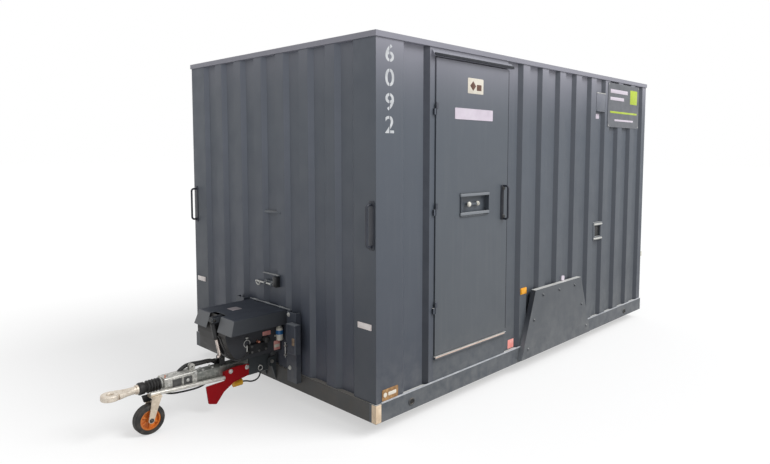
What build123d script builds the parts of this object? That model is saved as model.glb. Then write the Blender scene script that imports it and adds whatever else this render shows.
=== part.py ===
import os
from math import floor, hypot
from build123d import *

# Lengths are millimetres. +Z is up, the drawbar end faces -X, the door side faces -Y,
# and the origin lies on the ground under the middle of the cabin.

# Cabin frame
cabin_length = 3910
cabin_width = 2290
cabin_height = 2410
ground_gap = 85
rail_height = 120
rail_width = 60
rail_wall = 5
top_rail_height = 35
rail_proud = 8
post_sheet = 4
post_leg_least = 120
rear_leg_least = 80
door_post_leg = 234

# Corrugated walls, from the crests in to the lining
wall_depth = 79
rib_pitch = 280
rib_trough = 112
rib_flank = 36
rib_depth = 26

# Floor, chassis and roof
deck_thickness = 24
chassis_inset = 445
chassis_end_inset = 260
chassis_flange = 60
chassis_web = 8
bearer_width = 80
bearer_height = 100
bearer_wall = 6
bearer_end_inset = 515
roof_thickness = 25
swage_count = 5
swage_gap = 112
swage_height = 8
swage_side_gap = 70
swage_slope = 60

# Doorway and door
door_corner_gap = 545
door_width = 825
door_thickness = 50
door_gap = 6
kick_height = 156
sill_height = 20
sill_nose = 10
head_height = 59
front_jamb = 49
rear_jamb = 168
drip_height = 40
drip_reach = 30
drip_overlap = 38
sheet = 3
hinge_count = 3
hinge_radius = 5
hinge_clear = 1
knuckle_height = 40
hinge_leaf = 20
pin_gap = 0.3
lock_inset = 260
lock_width = 324
lock_rise = 933
lock_height = 168
lock_depth = 32
lock_lip = 10
lever_length = 148
lever_width = 16
lever_stem = 10
handle_radius = 8
handle_reach = 45
handle_bend = 20
door_handle_inset = 48
door_handle_rise = 883
door_handle_height = 251

# Fittings on the walls
grab_inset = 37
grab_rise = 989
grab_height = 258
cover_centre = 175
cover_top_width = 760
cover_bottom_width = 1145
cover_rise = 20
cover_height = 543
cover_proud = 36
board_end_gap = 187
board_width = 691
board_drop = 16
board_height = 422
board_thickness = 4
marker_length = 138
marker_height = 48
marker_depth = 40
marker_inset = 2
marker_rise = 458
marker_round = 6

# Pump box, hood and masts on the drawbar end
hood_width = 510
hood_offset = 30
hood_reach = 453
hood_rise = 437
hood_flange = 100
hood_sheet = 3
hood_round = 9
hood_front_rake = 33
hood_side_rake = 17
notch_width = 150
notch_depth = 78
notch_offset = 30
box_width = 380
box_offset = 60
box_rise = 127
box_front_reach = 440
box_top_back = 35
# Bellied front of the tub: back from the foremost point and up from the bottom
box_outline = [(0, 183), (15, 123), (37, 72), (70, 16), (85, 0)]
slot_depth = 75
slot_width = 70
box_sheet = 3
mast_inner = 266
mast_width = 110
mast_depth = 40
mast_sheet = 6
mast_drop = 55
mast_rise = 445
latch_width = 95
latch_depth = 45
latch_height = 205
latch_rise = 168
latch_round = 8
pump_front_gap = 167
pump_length = 135
pump_depth = 40
pump_height = 60
pump_rise = 41
knob_radius = 22
knob_length = 45
knob_reach = 139
knob_rise = 112
bottle_radius = 25
bottle_length = 115
bottle_reach = 26
bottle_rise = 86
bottle_shoulder = 14
bottle_neck = 11

# Drawbar
pivot_reach = 37
pivot_rise = 35
pivot_radius = 14
pivot_fit = 0.5
boss_radius = 30
lug_thickness = 12
lug_gap = 6
lug_radius = 36
beam_width = 100
beam_height = 130
beam_length = 160
beam_back_gap = 18
tube_size = 80
tube_wall = 5
tube_corner = 9
tube_top_drop = 8
tube_socket = 50
tube_length = 480
housing_length = 220
housing_lap = 40
housing_width = 100
housing_height = 100
housing_top_rise = 20
housing_round = 12
nose_radius = 33
nose_length = 10
tow_rise = 21
shaft_radius = 21
shaft_fit = 0.5
shaft_inside = 120
collar_radius = 30
collar_length = 12
bellows_length = 140
bellows_radius = 35
bellows_valley = 28
bellows_inner = 24
bellows_folds = 8
eye_reach = 151
eye_outer = 56
eye_bore = 20
eye_thickness = 36
eye_round = 8
neck_width = 104
neck_height = 38
neck_round = 16
neck_length = 108
shank_radius = 24
brake_back = 15
brake_rise = 20
brake_lever = 175
brake_bar = 14
brake_grip = 60
brake_grip_radius = 11
brake_pin = 5
brake_pin_fit = 0.3
brake_lug_length = 40

# Ram between the pump box and the drawbar
ram_top_reach = 460
ram_top_rise = 413
ram_foot_reach = 370
ram_foot_lift = 105
ram_pin = 8
ram_pin_fit = 0.5
ram_foot_play = 3
ram_eye_radius = 18
ram_eye_width = 26
ram_plate = 8
ram_plate_gap = 6
barrel_radius = 20
barrel_start = 24
barrel_end = 140
barrel_neck = 13
barrel_bore_start = 32
rod_radius = 12
rod_fit = 0.5
rod_start = 90

# Jockey wheel
wheel_radius = 94
wheel_width = 60
wheel_side = 58
wheel_lead = 110
tyre_round = 14
rim_radius = 64
rim_width = 50
rim_lip = 9
rim_web = 16
hub_radius = 20
axle_radius = 8
axle_fit = 0.5
fork_gap = 6
fork_plate = 8
fork_tip = 18
crown_gap = 38
crown_height = 12
crown_length = 60
crown_back = 10
arm_side_gap = 2
arm_radius = 14
arm_rise = 10
arm_drop = 39
bracket_plate = 10
bracket_round = 8
bracket_lead = 201
bracket_rise = 11
spacer_length = 150
spacer_drop = 14
spacer_height = 54
# Bracket outline from its upper front corner, forward and up positive
bracket_outline = [
    (0, 0), (-86, 12), (-181, 6), (-181, -74), (-63, -95),
    (12, -142), (70, -212), (125, -195), (142, -73), (0, -68),
]
cap_radius = 24
cap_length = 65
cap_drop = 80
cap_side = 20
cap_back = 110
strap_width = 30
strap_thickness = 5

# Cuts run this far past the faces they open
overrun = 10

# Levels and faces that follow from the sizes above
rail_top = ground_gap + rail_height
roof_top = ground_gap + cabin_height
wall_top = roof_top - top_rail_height
deck_bottom = rail_top - deck_thickness
half_length = cabin_length / 2
half_width = cabin_width / 2
end_face = half_length - rail_proud
side_face = half_width - rail_proud
inner_length = half_length - rail_width
inner_width = half_width - rail_width
front_face = -half_length
rib_half = rib_trough / 2 + rib_flank
crest = rib_pitch - rib_half * 2

door_left = front_face + door_corner_gap
door_right = door_left + door_width
sill_top = rail_top + kick_height + sill_height
door_bottom = sill_top + door_gap
door_top = wall_top - head_height - door_gap
door_height = door_top - door_bottom
door_face = -half_width
frame_left = door_left - door_gap
frame_right = door_right + door_gap
jamb_left = frame_left - front_jamb
jamb_right = frame_right + rear_jamb
hinge_x = door_left - door_gap / 2
hinge_y = door_face - hinge_radius - hinge_clear
lock_left = door_left + lock_inset
lock_bottom = door_bottom + lock_rise

hood_top = rail_top + hood_rise
box_bottom = rail_top + box_rise
box_side = box_offset - box_width / 2
slot_back = front_face - box_front_reach + slot_depth

pivot_x = front_face - pivot_reach
pivot_z = rail_top + pivot_rise
beam_back = pivot_x - beam_back_gap
beam_front = beam_back - beam_length
beam_top = pivot_z + beam_height / 2
tube_back = beam_front + tube_socket
tube_front = tube_back - tube_length
tube_z = beam_top - tube_top_drop - tube_size / 2
tube_bottom = tube_z - tube_size / 2
tube_side = -tube_size / 2
housing_back = tube_front + housing_lap
housing_front = housing_back - housing_length
housing_high = tube_z + tube_size / 2 + housing_top_rise
housing_low = housing_high - housing_height
tow_z = tube_z + tow_rise
nose_front = housing_front - nose_length
bellows_front = nose_front - bellows_length
collar_front = bellows_front - collar_length
eye_x = collar_front - eye_reach
brake_x = housing_back - brake_back
brake_z = housing_high + brake_rise

ram_top = (front_face - ram_top_reach, rail_top + ram_top_rise)
ram_foot = (pivot_x - ram_foot_reach, pivot_z + ram_foot_lift)
ram_run = (ram_foot[0] - ram_top[0], ram_foot[1] - ram_top[1])
ram_length = hypot(*ram_run)

wheel_x = housing_front - wheel_lead
wheel_sides = (-wheel_side - wheel_width / 2, wheel_width / 2 - wheel_side)
crown_low = wheel_radius * 2 + crown_gap
crown_high = crown_low + crown_height
crown_front = wheel_x + crown_back
arm_inner = -housing_width / 2 - arm_side_gap
arm_side = (arm_inner - arm_radius * 2, arm_inner)
arm_y = arm_inner - arm_radius
bracket_x = beam_front - bracket_lead
bracket_z = tube_z + bracket_rise


def slab(x_span, y_span, z_span):
    spans = (x_span, y_span, z_span)
    centre = [(low + high) / 2 for low, high in spans]
    return Pos(*centre) * Box(*[high - low for low, high in spans])


def around(centre, width):
    return centre - width / 2, centre + width / 2


def outline_face(points):
    return make_face(Polyline(*points, close=True))


def prism_x(points, span):
    plane = Plane(origin=(span[0], 0, 0), x_dir=(0, 1, 0), z_dir=(1, 0, 0))
    return extrude(plane * outline_face(points), amount=span[1] - span[0])


def prism_y(points, span):
    plane = Plane(origin=(0, span[1], 0), x_dir=(1, 0, 0), z_dir=(0, -1, 0))
    return extrude(plane * outline_face(points), amount=span[1] - span[0])


def prism_z(points, span):
    return extrude(Plane(origin=(0, 0, span[0])) * outline_face(points), amount=span[1] - span[0])


def rod(start, end, radius):
    run = Vector(*end) - Vector(*start)
    return extrude(Plane(origin=start, z_dir=run) * Circle(radius), amount=run.length)


def cross_rod(x, z, span, radius):
    return rod((x, span[0], z), (x, span[1], z), radius)


def closed_tube(x_span, y_span, z_span, wall):
    inner = [(low + wall, high - wall) for low, high in (x_span, y_span, z_span)]
    return slab(x_span, y_span, z_span) - slab(*inner)


def together(pieces):
    whole = pieces[0]
    for piece in pieces[1:]:
        whole += piece
    return whole


# Outer face of a corrugated wall as (distance along the wall, depth behind the crests)
def rib_line(centres, trough=rib_trough):
    line = []
    for centre in centres:
        line += [
            (centre - trough / 2 - rib_flank, 0),
            (centre - trough / 2, rib_depth),
            (centre + trough / 2, rib_depth),
            (centre + trough / 2 + rib_flank, 0),
        ]
    return line


# As many ribs as leave a flat corner leg of at least the least width at both ends
def centred_ribs(half_span):
    count = floor((half_span * 2 - post_leg_least * 2 + crest) / rib_pitch)
    return [(index - (count - 1) / 2) * rib_pitch for index in range(count)]


def ribs_behind_door():
    first = jamb_right + rib_flank + crest + rib_half
    count = floor((end_face - rear_leg_least - rib_half - first) / rib_pitch) + 1
    return [first + index * rib_pitch for index in range(count)]


def wall_panel(line, place):
    back = [(line[-1][0], wall_depth), (line[0][0], wall_depth)]
    return prism_z([place(*point) for point in line + back], (rail_top, wall_top))


def on_front(along, depth):
    return depth - end_face, along


def on_rear(along, depth):
    return end_face - depth, along


def on_left(along, depth):
    return along, side_face - depth


def on_right(along, depth):
    return along, depth - side_face


end_line = rib_line(centred_ribs(side_face))
left_line = rib_line(centred_ribs(end_face))
rear_line = rib_line(ribs_behind_door())
left_leg = end_face - left_line[-1][0]
rear_leg = end_face - rear_line[-1][0]


# Hollow folded post: one leg lies in the end wall and one in the side wall
def corner_post(x_sign, y_sign, side_leg):
    end_edge = end_line[-1][0]
    outline = [
        (end_face, side_face), (end_face, end_edge), (end_face - wall_depth, end_edge),
        (end_face - wall_depth, side_face - wall_depth), (end_face - side_leg, side_face - wall_depth),
        (end_face - side_leg, side_face),
    ]
    section = outline_face([(x * x_sign, y * y_sign) for x, y in outline])
    section -= offset(section, amount=-post_sheet, kind=Kind.INTERSECTION)
    return extrude(Plane(origin=(0, 0, rail_top)) * section, amount=wall_top - rail_top)


def corner_posts():
    return together([
        corner_post(-1, -1, door_post_leg), corner_post(1, -1, rear_leg),
        corner_post(-1, 1, left_leg), corner_post(1, 1, left_leg),
    ])


def right_wall_front():
    start = door_post_leg - end_face
    return wall_panel(rib_line([(start + jamb_left) / 2], jamb_left - start - rib_flank * 2), on_right)


def right_wall_rear():
    return wall_panel([(jamb_right, rib_depth), (jamb_right + rib_flank, 0)] + rear_line, on_right)


def side_rails(z_span):
    x_span = (-half_length, half_length)
    sides = ((inner_width, half_width), (-half_width, -inner_width))
    return together([closed_tube(x_span, y_span, z_span, rail_wall) for y_span in sides])


def end_rails(z_span):
    ends = ((inner_length, half_length), (-half_length, -inner_length))
    return together([closed_tube(x_span, (-inner_width, inner_width), z_span, rail_wall) for x_span in ends])


def floor_deck():
    return slab((-inner_length, inner_length), (-inner_width, inner_width), (deck_bottom, rail_top))


def chassis_beams():
    web_face = half_width - chassis_inset
    section = [
        (0, 0), (chassis_flange, 0), (chassis_flange, chassis_web), (chassis_web, chassis_web),
        (chassis_web, deck_bottom - chassis_web), (chassis_flange, deck_bottom - chassis_web),
        (chassis_flange, deck_bottom), (0, deck_bottom),
    ]
    reach = inner_length - chassis_end_inset
    return together([
        prism_x([(side * (web_face + y), z) for y, z in section], (-reach, reach)) for side in (-1, 1)
    ])


def cross_bearers():
    reach = half_width - chassis_inset
    step = half_length - bearer_end_inset - bearer_width / 2
    return together([
        closed_tube(around(x, bearer_width), (-reach, reach), (0, bearer_height), bearer_wall)
        for x in (-step, 0, step)
    ])


def roof_panel():
    top = wall_top + roof_thickness
    roof = slab((-inner_length, inner_length), (-inner_width, inner_width), (wall_top, top))
    length = (inner_length * 2 - swage_gap * (swage_count + 1)) / swage_count
    width = inner_width * 2 - swage_side_gap * 2
    for index in range(swage_count):
        x = (index - (swage_count - 1) / 2) * (length + swage_gap)
        foot = Plane(origin=(x, 0, top)) * Rectangle(length, width)
        roof += extrude(foot, amount=swage_height, taper=swage_slope)
    return roof


def hinge_heights():
    step = door_height / hinge_count
    return [door_bottom + step * index + step / 2 for index in range(hinge_count)]


def hinge_half(z_span, x_span, back):
    knuckle = rod((hinge_x, hinge_y, z_span[0]), (hinge_x, hinge_y, z_span[1]), hinge_radius)
    return knuckle + slab(x_span, (hinge_y, back), z_span)


def door_jamb_front():
    jamb = slab((jamb_left, frame_left), (-side_face, wall_depth - side_face), (rail_top, wall_top))
    for z in hinge_heights():
        jamb += hinge_half((z - knuckle_height, z - pin_gap), (hinge_x - hinge_leaf, hinge_x), -side_face)
    return jamb


def door_hinges():
    return together([
        hinge_half((z + pin_gap, z + knuckle_height), (hinge_x, hinge_x + hinge_leaf), door_face)
        for z in hinge_heights()
    ])


def door_jamb_rear():
    y_span = (rib_depth - side_face, wall_depth - side_face)
    return slab((frame_right, jamb_right), y_span, (rail_top, wall_top))


def door_head():
    y_span = (-side_face, wall_depth - side_face)
    return slab((frame_left, frame_right), y_span, (door_top + door_gap, wall_top))


def kick_panel():
    y_span = (-side_face, wall_depth - side_face)
    return slab((frame_left, frame_right), y_span, (rail_top, rail_top + kick_height))


def door_sill():
    y_span = (door_face - sill_nose, wall_depth - side_face)
    return slab((frame_left, frame_right), y_span, (sill_top - sill_height, sill_top))


def drip_rail():
    low = door_top + door_gap
    lip = -side_face - drip_reach
    section = [
        (-side_face, low), (-side_face, low + drip_height), (-side_face - sheet, low + drip_height),
        (lip, low + sheet), (lip, low),
    ]
    return prism_x(section, (door_left - drip_overlap, door_right + drip_overlap))


def lock_space(inset, y_span):
    return slab(
        (lock_left + inset, lock_left + lock_width - inset), y_span,
        (lock_bottom + inset, lock_bottom + lock_height - inset),
    )


# The leaf is two plain panels with a lock rail between them that holds the pocket
def door_panel(z_span):
    return slab((door_left, door_right), (door_face, door_face + door_thickness), z_span)


def door_lock_rail():
    rail = door_panel((lock_bottom, lock_bottom + lock_height))
    return rail - lock_space(0, (door_face - overrun, door_face + lock_depth))


def door_lock():
    front = door_face - lock_lip
    floor_y = door_face + lock_depth - sheet
    tray = lock_space(0, (front, door_face + lock_depth)) - lock_space(sheet, (front - overrun, floor_y))
    x = lock_left + lock_width / 2
    z = lock_bottom + lock_height / 2
    stem = rod((x, floor_y, z), (x, floor_y - lever_stem, z), lever_width / 2)
    lever_y = floor_y - lever_stem
    lever = slab(around(x, lever_length), (lever_y - lever_width / 2, lever_y), around(z, lever_width))
    return tray + stem + lever


def d_handle(low, high, reach):
    low, high, reach = Vector(*low), Vector(*high), Vector(*reach)
    path = FilletPolyline(low, low + reach, high + reach, high, radius=handle_bend)
    return sweep(Plane(origin=low, z_dir=reach) * Circle(handle_radius), path=path)


def door_handle():
    x = door_right - door_handle_inset
    low = door_bottom + door_handle_rise
    return d_handle((x, door_face, low), (x, door_face, low + door_handle_height), (0, -handle_reach, 0))


def grab_handles():
    low = rail_top + grab_rise
    return together([
        d_handle((-end_face, y, low), (-end_face, y, low + grab_height), (-handle_reach, 0, 0))
        for y in (grab_inset - side_face, side_face - grab_inset)
    ])


# Hollow tapered box over the road wheel on each side, cut away where the bottom rail passes
def wheel_covers():
    def outline(inset):
        low = ground_gap + cover_rise
        return [
            (cover_centre - cover_bottom_width / 2 + inset, low + inset),
            (cover_centre + cover_bottom_width / 2 - inset, low + inset),
            (cover_centre + cover_top_width / 2 - inset, low + cover_height - inset),
            (cover_centre - cover_top_width / 2 + inset, low + cover_height - inset),
        ]
    face = -half_width - cover_proud
    cover = prism_y(outline(0), (face, -side_face))
    cover -= prism_y(outline(sheet), (face + sheet, overrun - side_face))
    cover -= slab((-half_length, half_length), (-half_width, 0), (0, rail_top))
    return cover + mirror(cover, about=Plane.XZ)


def sign_board():
    right = half_length - board_end_gap
    top = wall_top - board_drop
    y_span = (-side_face - board_thickness, -side_face)
    return slab((right - board_width, right), y_span, (top - board_height, top))


# Side marker blocks at the outer ends of the rear wall
def rear_markers():
    low = rail_top + marker_rise
    outer = side_face - marker_inset
    blocks = []
    for y_span in ((outer - marker_length, outer), (-outer, marker_length - outer)):
        block = slab((end_face, end_face + marker_depth), y_span, (low, low + marker_height))
        blocks.append(fillet(block.edges().sort_by(Axis.X)[-4:], radius=marker_round))
    return together(blocks)


def mast_posts():
    front = front_face - mast_depth
    z_span = (rail_top - mast_drop, rail_top + mast_rise)
    posts = []
    for side, inner in ((-1, mast_inner), (1, mast_inner + hood_offset)):
        outer = inner + mast_width
        section = [
            (front_face, inner), (front, inner), (front, outer), (front_face, outer),
            (front_face, outer - mast_sheet), (front + mast_sheet, outer - mast_sheet),
            (front + mast_sheet, inner + mast_sheet), (front_face, inner + mast_sheet),
        ]
        posts.append(prism_z([(x, side * y) for x, y in section], z_span))
    return together(posts)


def latch_box():
    back = front_face - mast_depth
    low = rail_top + latch_rise
    box = slab(
        (back - latch_depth, back), around(-mast_inner - mast_width, latch_width), (low, low + latch_height),
    )
    return fillet(box.edges().sort_by(Axis.X)[:4], radius=latch_round)


# Sheet tub with a bellied front and a slot down the front for the ram
def pump_box():
    def tub(inset, top):
        nose = front_face - box_front_reach + inset
        back = -end_face - inset
        points = [(back, box_bottom + inset), (back, top), (nose + box_top_back, top)]
        points += [(nose + behind, box_bottom + max(rise, inset)) for behind, rise in box_outline]
        body = prism_y(points, around(box_offset, box_width - inset * 2))
        slot_span = around(0, slot_width + inset * 2)
        z_span = (box_bottom - overrun, top + overrun)
        return body - slab((nose - overrun, slot_back + inset), slot_span, z_span)
    top = hood_top - hood_sheet
    return tub(0, top) - tub(box_sheet, top + overrun)


# Folded lid: its front and sides splay out, the creases are rounded and the notch lets the ram through
def hood_lid():
    front = front_face - hood_reach
    low = hood_top - hood_flange

    def folded(inset, x_back, z_low):
        def level(z):
            rise_share = (z - low) / hood_flange
            x_front = front + inset + hood_front_rake * rise_share
            half = hood_width / 2 - inset - hood_side_rake * rise_share
            y_low, y_high = hood_offset - half, hood_offset + half
            corners = [(x_front, y_low), (x_back, y_low), (x_back, y_high), (x_front, y_high)]
            return outline_face([(x, y, z) for x, y in corners])
        body = loft([level(z_low), level(hood_top - inset)], ruled=True)
        creases = []
        for edge in body.edges():
            if edge.center().X < x_back - overrun and edge.center().Z > z_low + overrun:
                creases.append(edge)
        return fillet(creases, radius=hood_round - inset)

    lid = folded(0, -end_face, low) - folded(hood_sheet, overrun - end_face, low - overrun)
    notch_span = around(notch_offset, notch_width)
    return lid - slab((front - overrun, front + notch_depth), notch_span, (low - overrun, hood_top + overrun))


# Two plates and a pin, with a rounded end about the pin
def eye_plates(x, z, foot_x, foot_z):
    inner = ram_eye_width / 2 + ram_plate_gap
    plates = cross_rod(x, z, (-inner - ram_plate, inner + ram_plate), ram_pin)
    for side in (-1, 1):
        y_span = sorted((side * inner, side * (inner + ram_plate)))
        plates += slab(foot_x, y_span, foot_z) + cross_rod(x, z, y_span, ram_eye_radius)
    return plates


def ram_bracket():
    return eye_plates(*ram_top, (ram_top[0], slot_back), around(ram_top[1], ram_eye_radius * 2))


def ram_lug():
    foot_span = around(ram_foot[0], ram_eye_radius * 2)
    return eye_plates(*ram_foot, foot_span, (tube_z + tube_size / 2, ram_foot[1]))


def drawbar_lugs():
    lugs = []
    for side in (-1, 1):
        inner = side * (beam_width / 2 + lug_gap)
        y_span = sorted((inner, inner + side * lug_thickness))
        points = [
            (front_face, ground_gap + rail_wall), (front_face, pivot_z + lug_radius),
            (pivot_x, pivot_z + lug_radius), (pivot_x, pivot_z - lug_radius),
        ]
        lug = prism_y(points, y_span) + cross_rod(pivot_x, pivot_z, y_span, lug_radius)
        hole = (y_span[0] - overrun, y_span[1] + overrun)
        lugs.append(lug - cross_rod(pivot_x, pivot_z, hole, pivot_radius))
    return together(lugs)


def drawbar_pin():
    reach = beam_width / 2 + lug_gap * 2 + lug_thickness
    return cross_rod(pivot_x, pivot_z, (-reach, reach), pivot_radius)


def hand_pump():
    front = front_face - box_front_reach + pump_front_gap
    low = box_bottom + pump_rise
    body = slab((front, front + pump_length), (box_side - pump_depth, box_side), (low, low + pump_height))
    knob_span = (box_side - knob_length, box_side)
    return body + cross_rod(front_face - knob_reach, box_bottom + knob_rise, knob_span, knob_radius)


def fluid_bottle():
    x = front_face - bottle_reach
    y = box_side - bottle_radius
    low = box_bottom + bottle_rise
    top = low + bottle_length
    profile = [
        (0, low), (bottle_radius, low), (bottle_radius, top - bottle_shoulder * 2),
        (bottle_neck, top - bottle_shoulder), (bottle_neck, top), (0, top),
    ]
    face = outline_face([(x + radius, y, z) for radius, z in profile])
    return revolve(face, axis=Axis((x, y, 0), (0, 0, 1)))


def along_x(x_span, section):
    plane = Plane(origin=(x_span[0], 0, 0), x_dir=(0, 1, 0), z_dir=(1, 0, 0))
    return extrude(plane * section, amount=x_span[1] - x_span[0])


def tube_section():
    return Pos(0, tube_z) * RectangleRounded(tube_size, tube_size, tube_corner)


def drawbar_beam():
    beam_section = Pos(0, pivot_z) * RectangleRounded(beam_width, beam_height, tube_corner)
    beam = along_x((beam_front, beam_back), beam_section)
    beam += cross_rod(pivot_x, pivot_z, around(0, beam_width), boss_radius)
    beam -= along_x((beam_front - overrun, tube_back), tube_section())
    return beam - cross_rod(pivot_x, pivot_z, around(0, beam_width + overrun), pivot_radius + pivot_fit)


def coupling_tube():
    hollow = tube_size - tube_wall * 2
    section = RectangleRounded(tube_size, tube_size, tube_corner)
    section -= RectangleRounded(hollow, hollow, tube_corner - tube_wall)
    return along_x((tube_front, tube_back), Pos(0, tube_z) * section)


def coupling_housing():
    body = slab((housing_front, housing_back), around(0, housing_width), (housing_low, housing_high))
    body = fillet(body.edges().filter_by(Axis.X), radius=housing_round)
    body += rod((nose_front, 0, tow_z), (housing_front, 0, tow_z), nose_radius)
    body -= along_x((tube_front, housing_back + overrun), tube_section())
    body -= rod((nose_front - overrun, 0, tow_z), (tube_front + overrun, 0, tow_z), shaft_radius + shaft_fit)
    for side in (-1, 1):
        inner = side * (brake_bar / 2 + pin_gap)
        y_span = sorted((inner, inner + side * brake_bar / 2))
        body += slab(around(brake_x, brake_lug_length), y_span, (housing_high, brake_z))
        body += cross_rod(brake_x, brake_z, y_span, brake_lug_length / 2)
    return body - cross_rod(brake_x, brake_z, around(0, housing_width), brake_pin)


# Forged ring, lofted neck and round shaft with its collar
def tow_eye():
    ring_width = eye_outer - eye_bore
    neck_start = eye_x + eye_bore + ring_width / 2
    ring_plane = Plane(origin=(neck_start, 0, tow_z), x_dir=(1, 0, 0), z_dir=(0, -1, 0))
    ring_section = ring_plane * RectangleRounded(ring_width, eye_thickness, eye_round)
    ring = revolve(ring_section, axis=Axis((eye_x, 0, 0), (0, 0, 1)))
    neck_end = neck_start + neck_length
    sections = []
    for x, section in (
        (neck_start, RectangleRounded(neck_width, neck_height, neck_round)), (neck_end, Circle(shank_radius)),
    ):
        sections.append(Plane(origin=(x, 0, tow_z), x_dir=(0, 1, 0), z_dir=(1, 0, 0)) * section)
    neck = loft(sections)
    shank = rod((neck_end, 0, tow_z), (collar_front, 0, tow_z), shank_radius)
    shaft = rod((collar_front, 0, tow_z), (housing_front + shaft_inside, 0, tow_z), shaft_radius)
    collar = rod((collar_front, 0, tow_z), (bellows_front, 0, tow_z), collar_radius)
    return ring + neck + shank + shaft + collar


def bellows():
    step = bellows_length / bellows_folds
    points = [(bellows_front, bellows_inner)]
    for index in range(bellows_folds):
        start = bellows_front + step * index
        points += [(start, bellows_valley), (start + step / 2, bellows_radius)]
    points += [(nose_front, bellows_valley), (nose_front, bellows_inner)]
    section = outline_face([(x, 0, tow_z + radius) for x, radius in points])
    return revolve(section, axis=Axis((0, 0, tow_z), (1, 0, 0)))


def handbrake_lever():
    end = brake_x + brake_lever
    bar = slab((brake_x, end), around(0, brake_bar), around(brake_z, brake_bar))
    bar += cross_rod(brake_x, brake_z, around(0, brake_bar), brake_bar / 2 + pin_gap)
    bar += rod((end - brake_grip, 0, brake_z), (end, 0, brake_z), brake_grip_radius)
    return bar + cross_rod(brake_x, brake_z, around(0, brake_bar * 2), brake_pin - brake_pin_fit)


def along_ram(distance):
    part = distance / ram_length
    return ram_top[0] + ram_run[0] * part, 0, ram_top[1] + ram_run[1] * part


def ram_barrel():
    barrel = rod(along_ram(barrel_start), along_ram(barrel_end), barrel_radius)
    barrel += rod(along_ram(0), along_ram(barrel_start), barrel_neck)
    barrel += cross_rod(*ram_top, around(0, ram_eye_width), ram_eye_radius)
    barrel -= cross_rod(*ram_top, around(0, ram_eye_width + overrun), ram_pin + ram_pin_fit)
    return barrel - rod(along_ram(barrel_bore_start), along_ram(barrel_end + overrun), rod_radius + rod_fit)


def ram_rod():
    shaft = rod(along_ram(rod_start), along_ram(ram_length), rod_radius)
    shaft += cross_rod(*ram_foot, around(0, ram_eye_width), ram_eye_radius)
    return shaft - cross_rod(*ram_foot, around(0, ram_eye_width + overrun), ram_pin + ram_foot_play)


def jockey_tyre():
    tyre = cross_rod(wheel_x, wheel_radius, wheel_sides, wheel_radius)
    tyre = fillet(tyre.edges().filter_by(GeomType.CIRCLE), radius=tyre_round)
    return tyre - cross_rod(wheel_x, wheel_radius, around(-wheel_side, wheel_width + overrun), rim_radius)


def jockey_rim():
    half, web = rim_width / 2, rim_web / 2
    bore = axle_radius + axle_fit
    lip = rim_radius - rim_lip
    near = [
        (-half, bore), (-half, hub_radius), (-web, hub_radius),
        (-web, lip), (-half, lip), (-half, rim_radius),
    ]
    profile = near + [(-y, radius) for y, radius in reversed(near)]
    face = outline_face([(wheel_x, y - wheel_side, wheel_radius + radius) for y, radius in profile])
    return revolve(face, axis=Axis((wheel_x, 0, wheel_radius), (0, 1, 0)))


def jockey_fork():
    near = wheel_sides[0] - fork_gap - fork_plate
    far = wheel_sides[1] + fork_gap + fork_plate
    fork = slab((crown_front, crown_front + crown_length), (near, far), (crown_low, crown_high))
    for y_span in ((near, near + fork_plate), (far - fork_plate, far)):
        points = [
            (crown_front, crown_high), (crown_front + crown_length, crown_high),
            (wheel_x + fork_tip, wheel_radius), (wheel_x - fork_tip, wheel_radius),
        ]
        fork += prism_y(points, y_span) + cross_rod(wheel_x, wheel_radius, y_span, fork_tip)
    return fork + cross_rod(wheel_x, wheel_radius, (near, far), axle_radius)


# Round tube seated on the fork's crown and cut off square at the bracket
def jockey_arm():
    crown = (crown_front, crown_front + crown_length)
    seat = (crown_front, arm_y, crown_high + arm_rise)
    rear = (bracket_x, arm_y, tube_z - arm_drop)
    run = Vector(*rear) - Vector(*seat)
    past = run.normalized() * arm_radius
    arm = rod(seat, Vector(*rear) + past, arm_radius)
    arm -= slab((bracket_x, bracket_x + arm_radius * 2), arm_side, (0, bracket_z))
    return arm - slab(crown, (arm_side[0] - overrun, 0), (crown_low, crown_high))


def jockey_bracket():
    points = [(bracket_x - forward, bracket_z + up) for forward, up in bracket_outline]
    plane = Plane(origin=(0, arm_side[0] + bracket_plate, 0), x_dir=(1, 0, 0), z_dir=(0, -1, 0))
    face = outline_face(points)
    plate = extrude(plane * fillet(face.vertices(), radius=bracket_round), amount=bracket_plate)
    top = bracket_z - spacer_drop
    y_span = (arm_side[0] + bracket_plate, tube_side)
    return plate + slab((bracket_x, bracket_x + spacer_length), y_span, (top - spacer_height, top))


def plug_cap():
    x = beam_front - cap_back
    z = tube_bottom - cap_drop
    cap = rod((x, -cap_side, z), (x + cap_length, -cap_side, z), cap_radius)
    strap_span = around(x + cap_length / 2, strap_width)
    return cap + slab(strap_span, around(-cap_side, strap_thickness), (z, tube_bottom))


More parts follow.
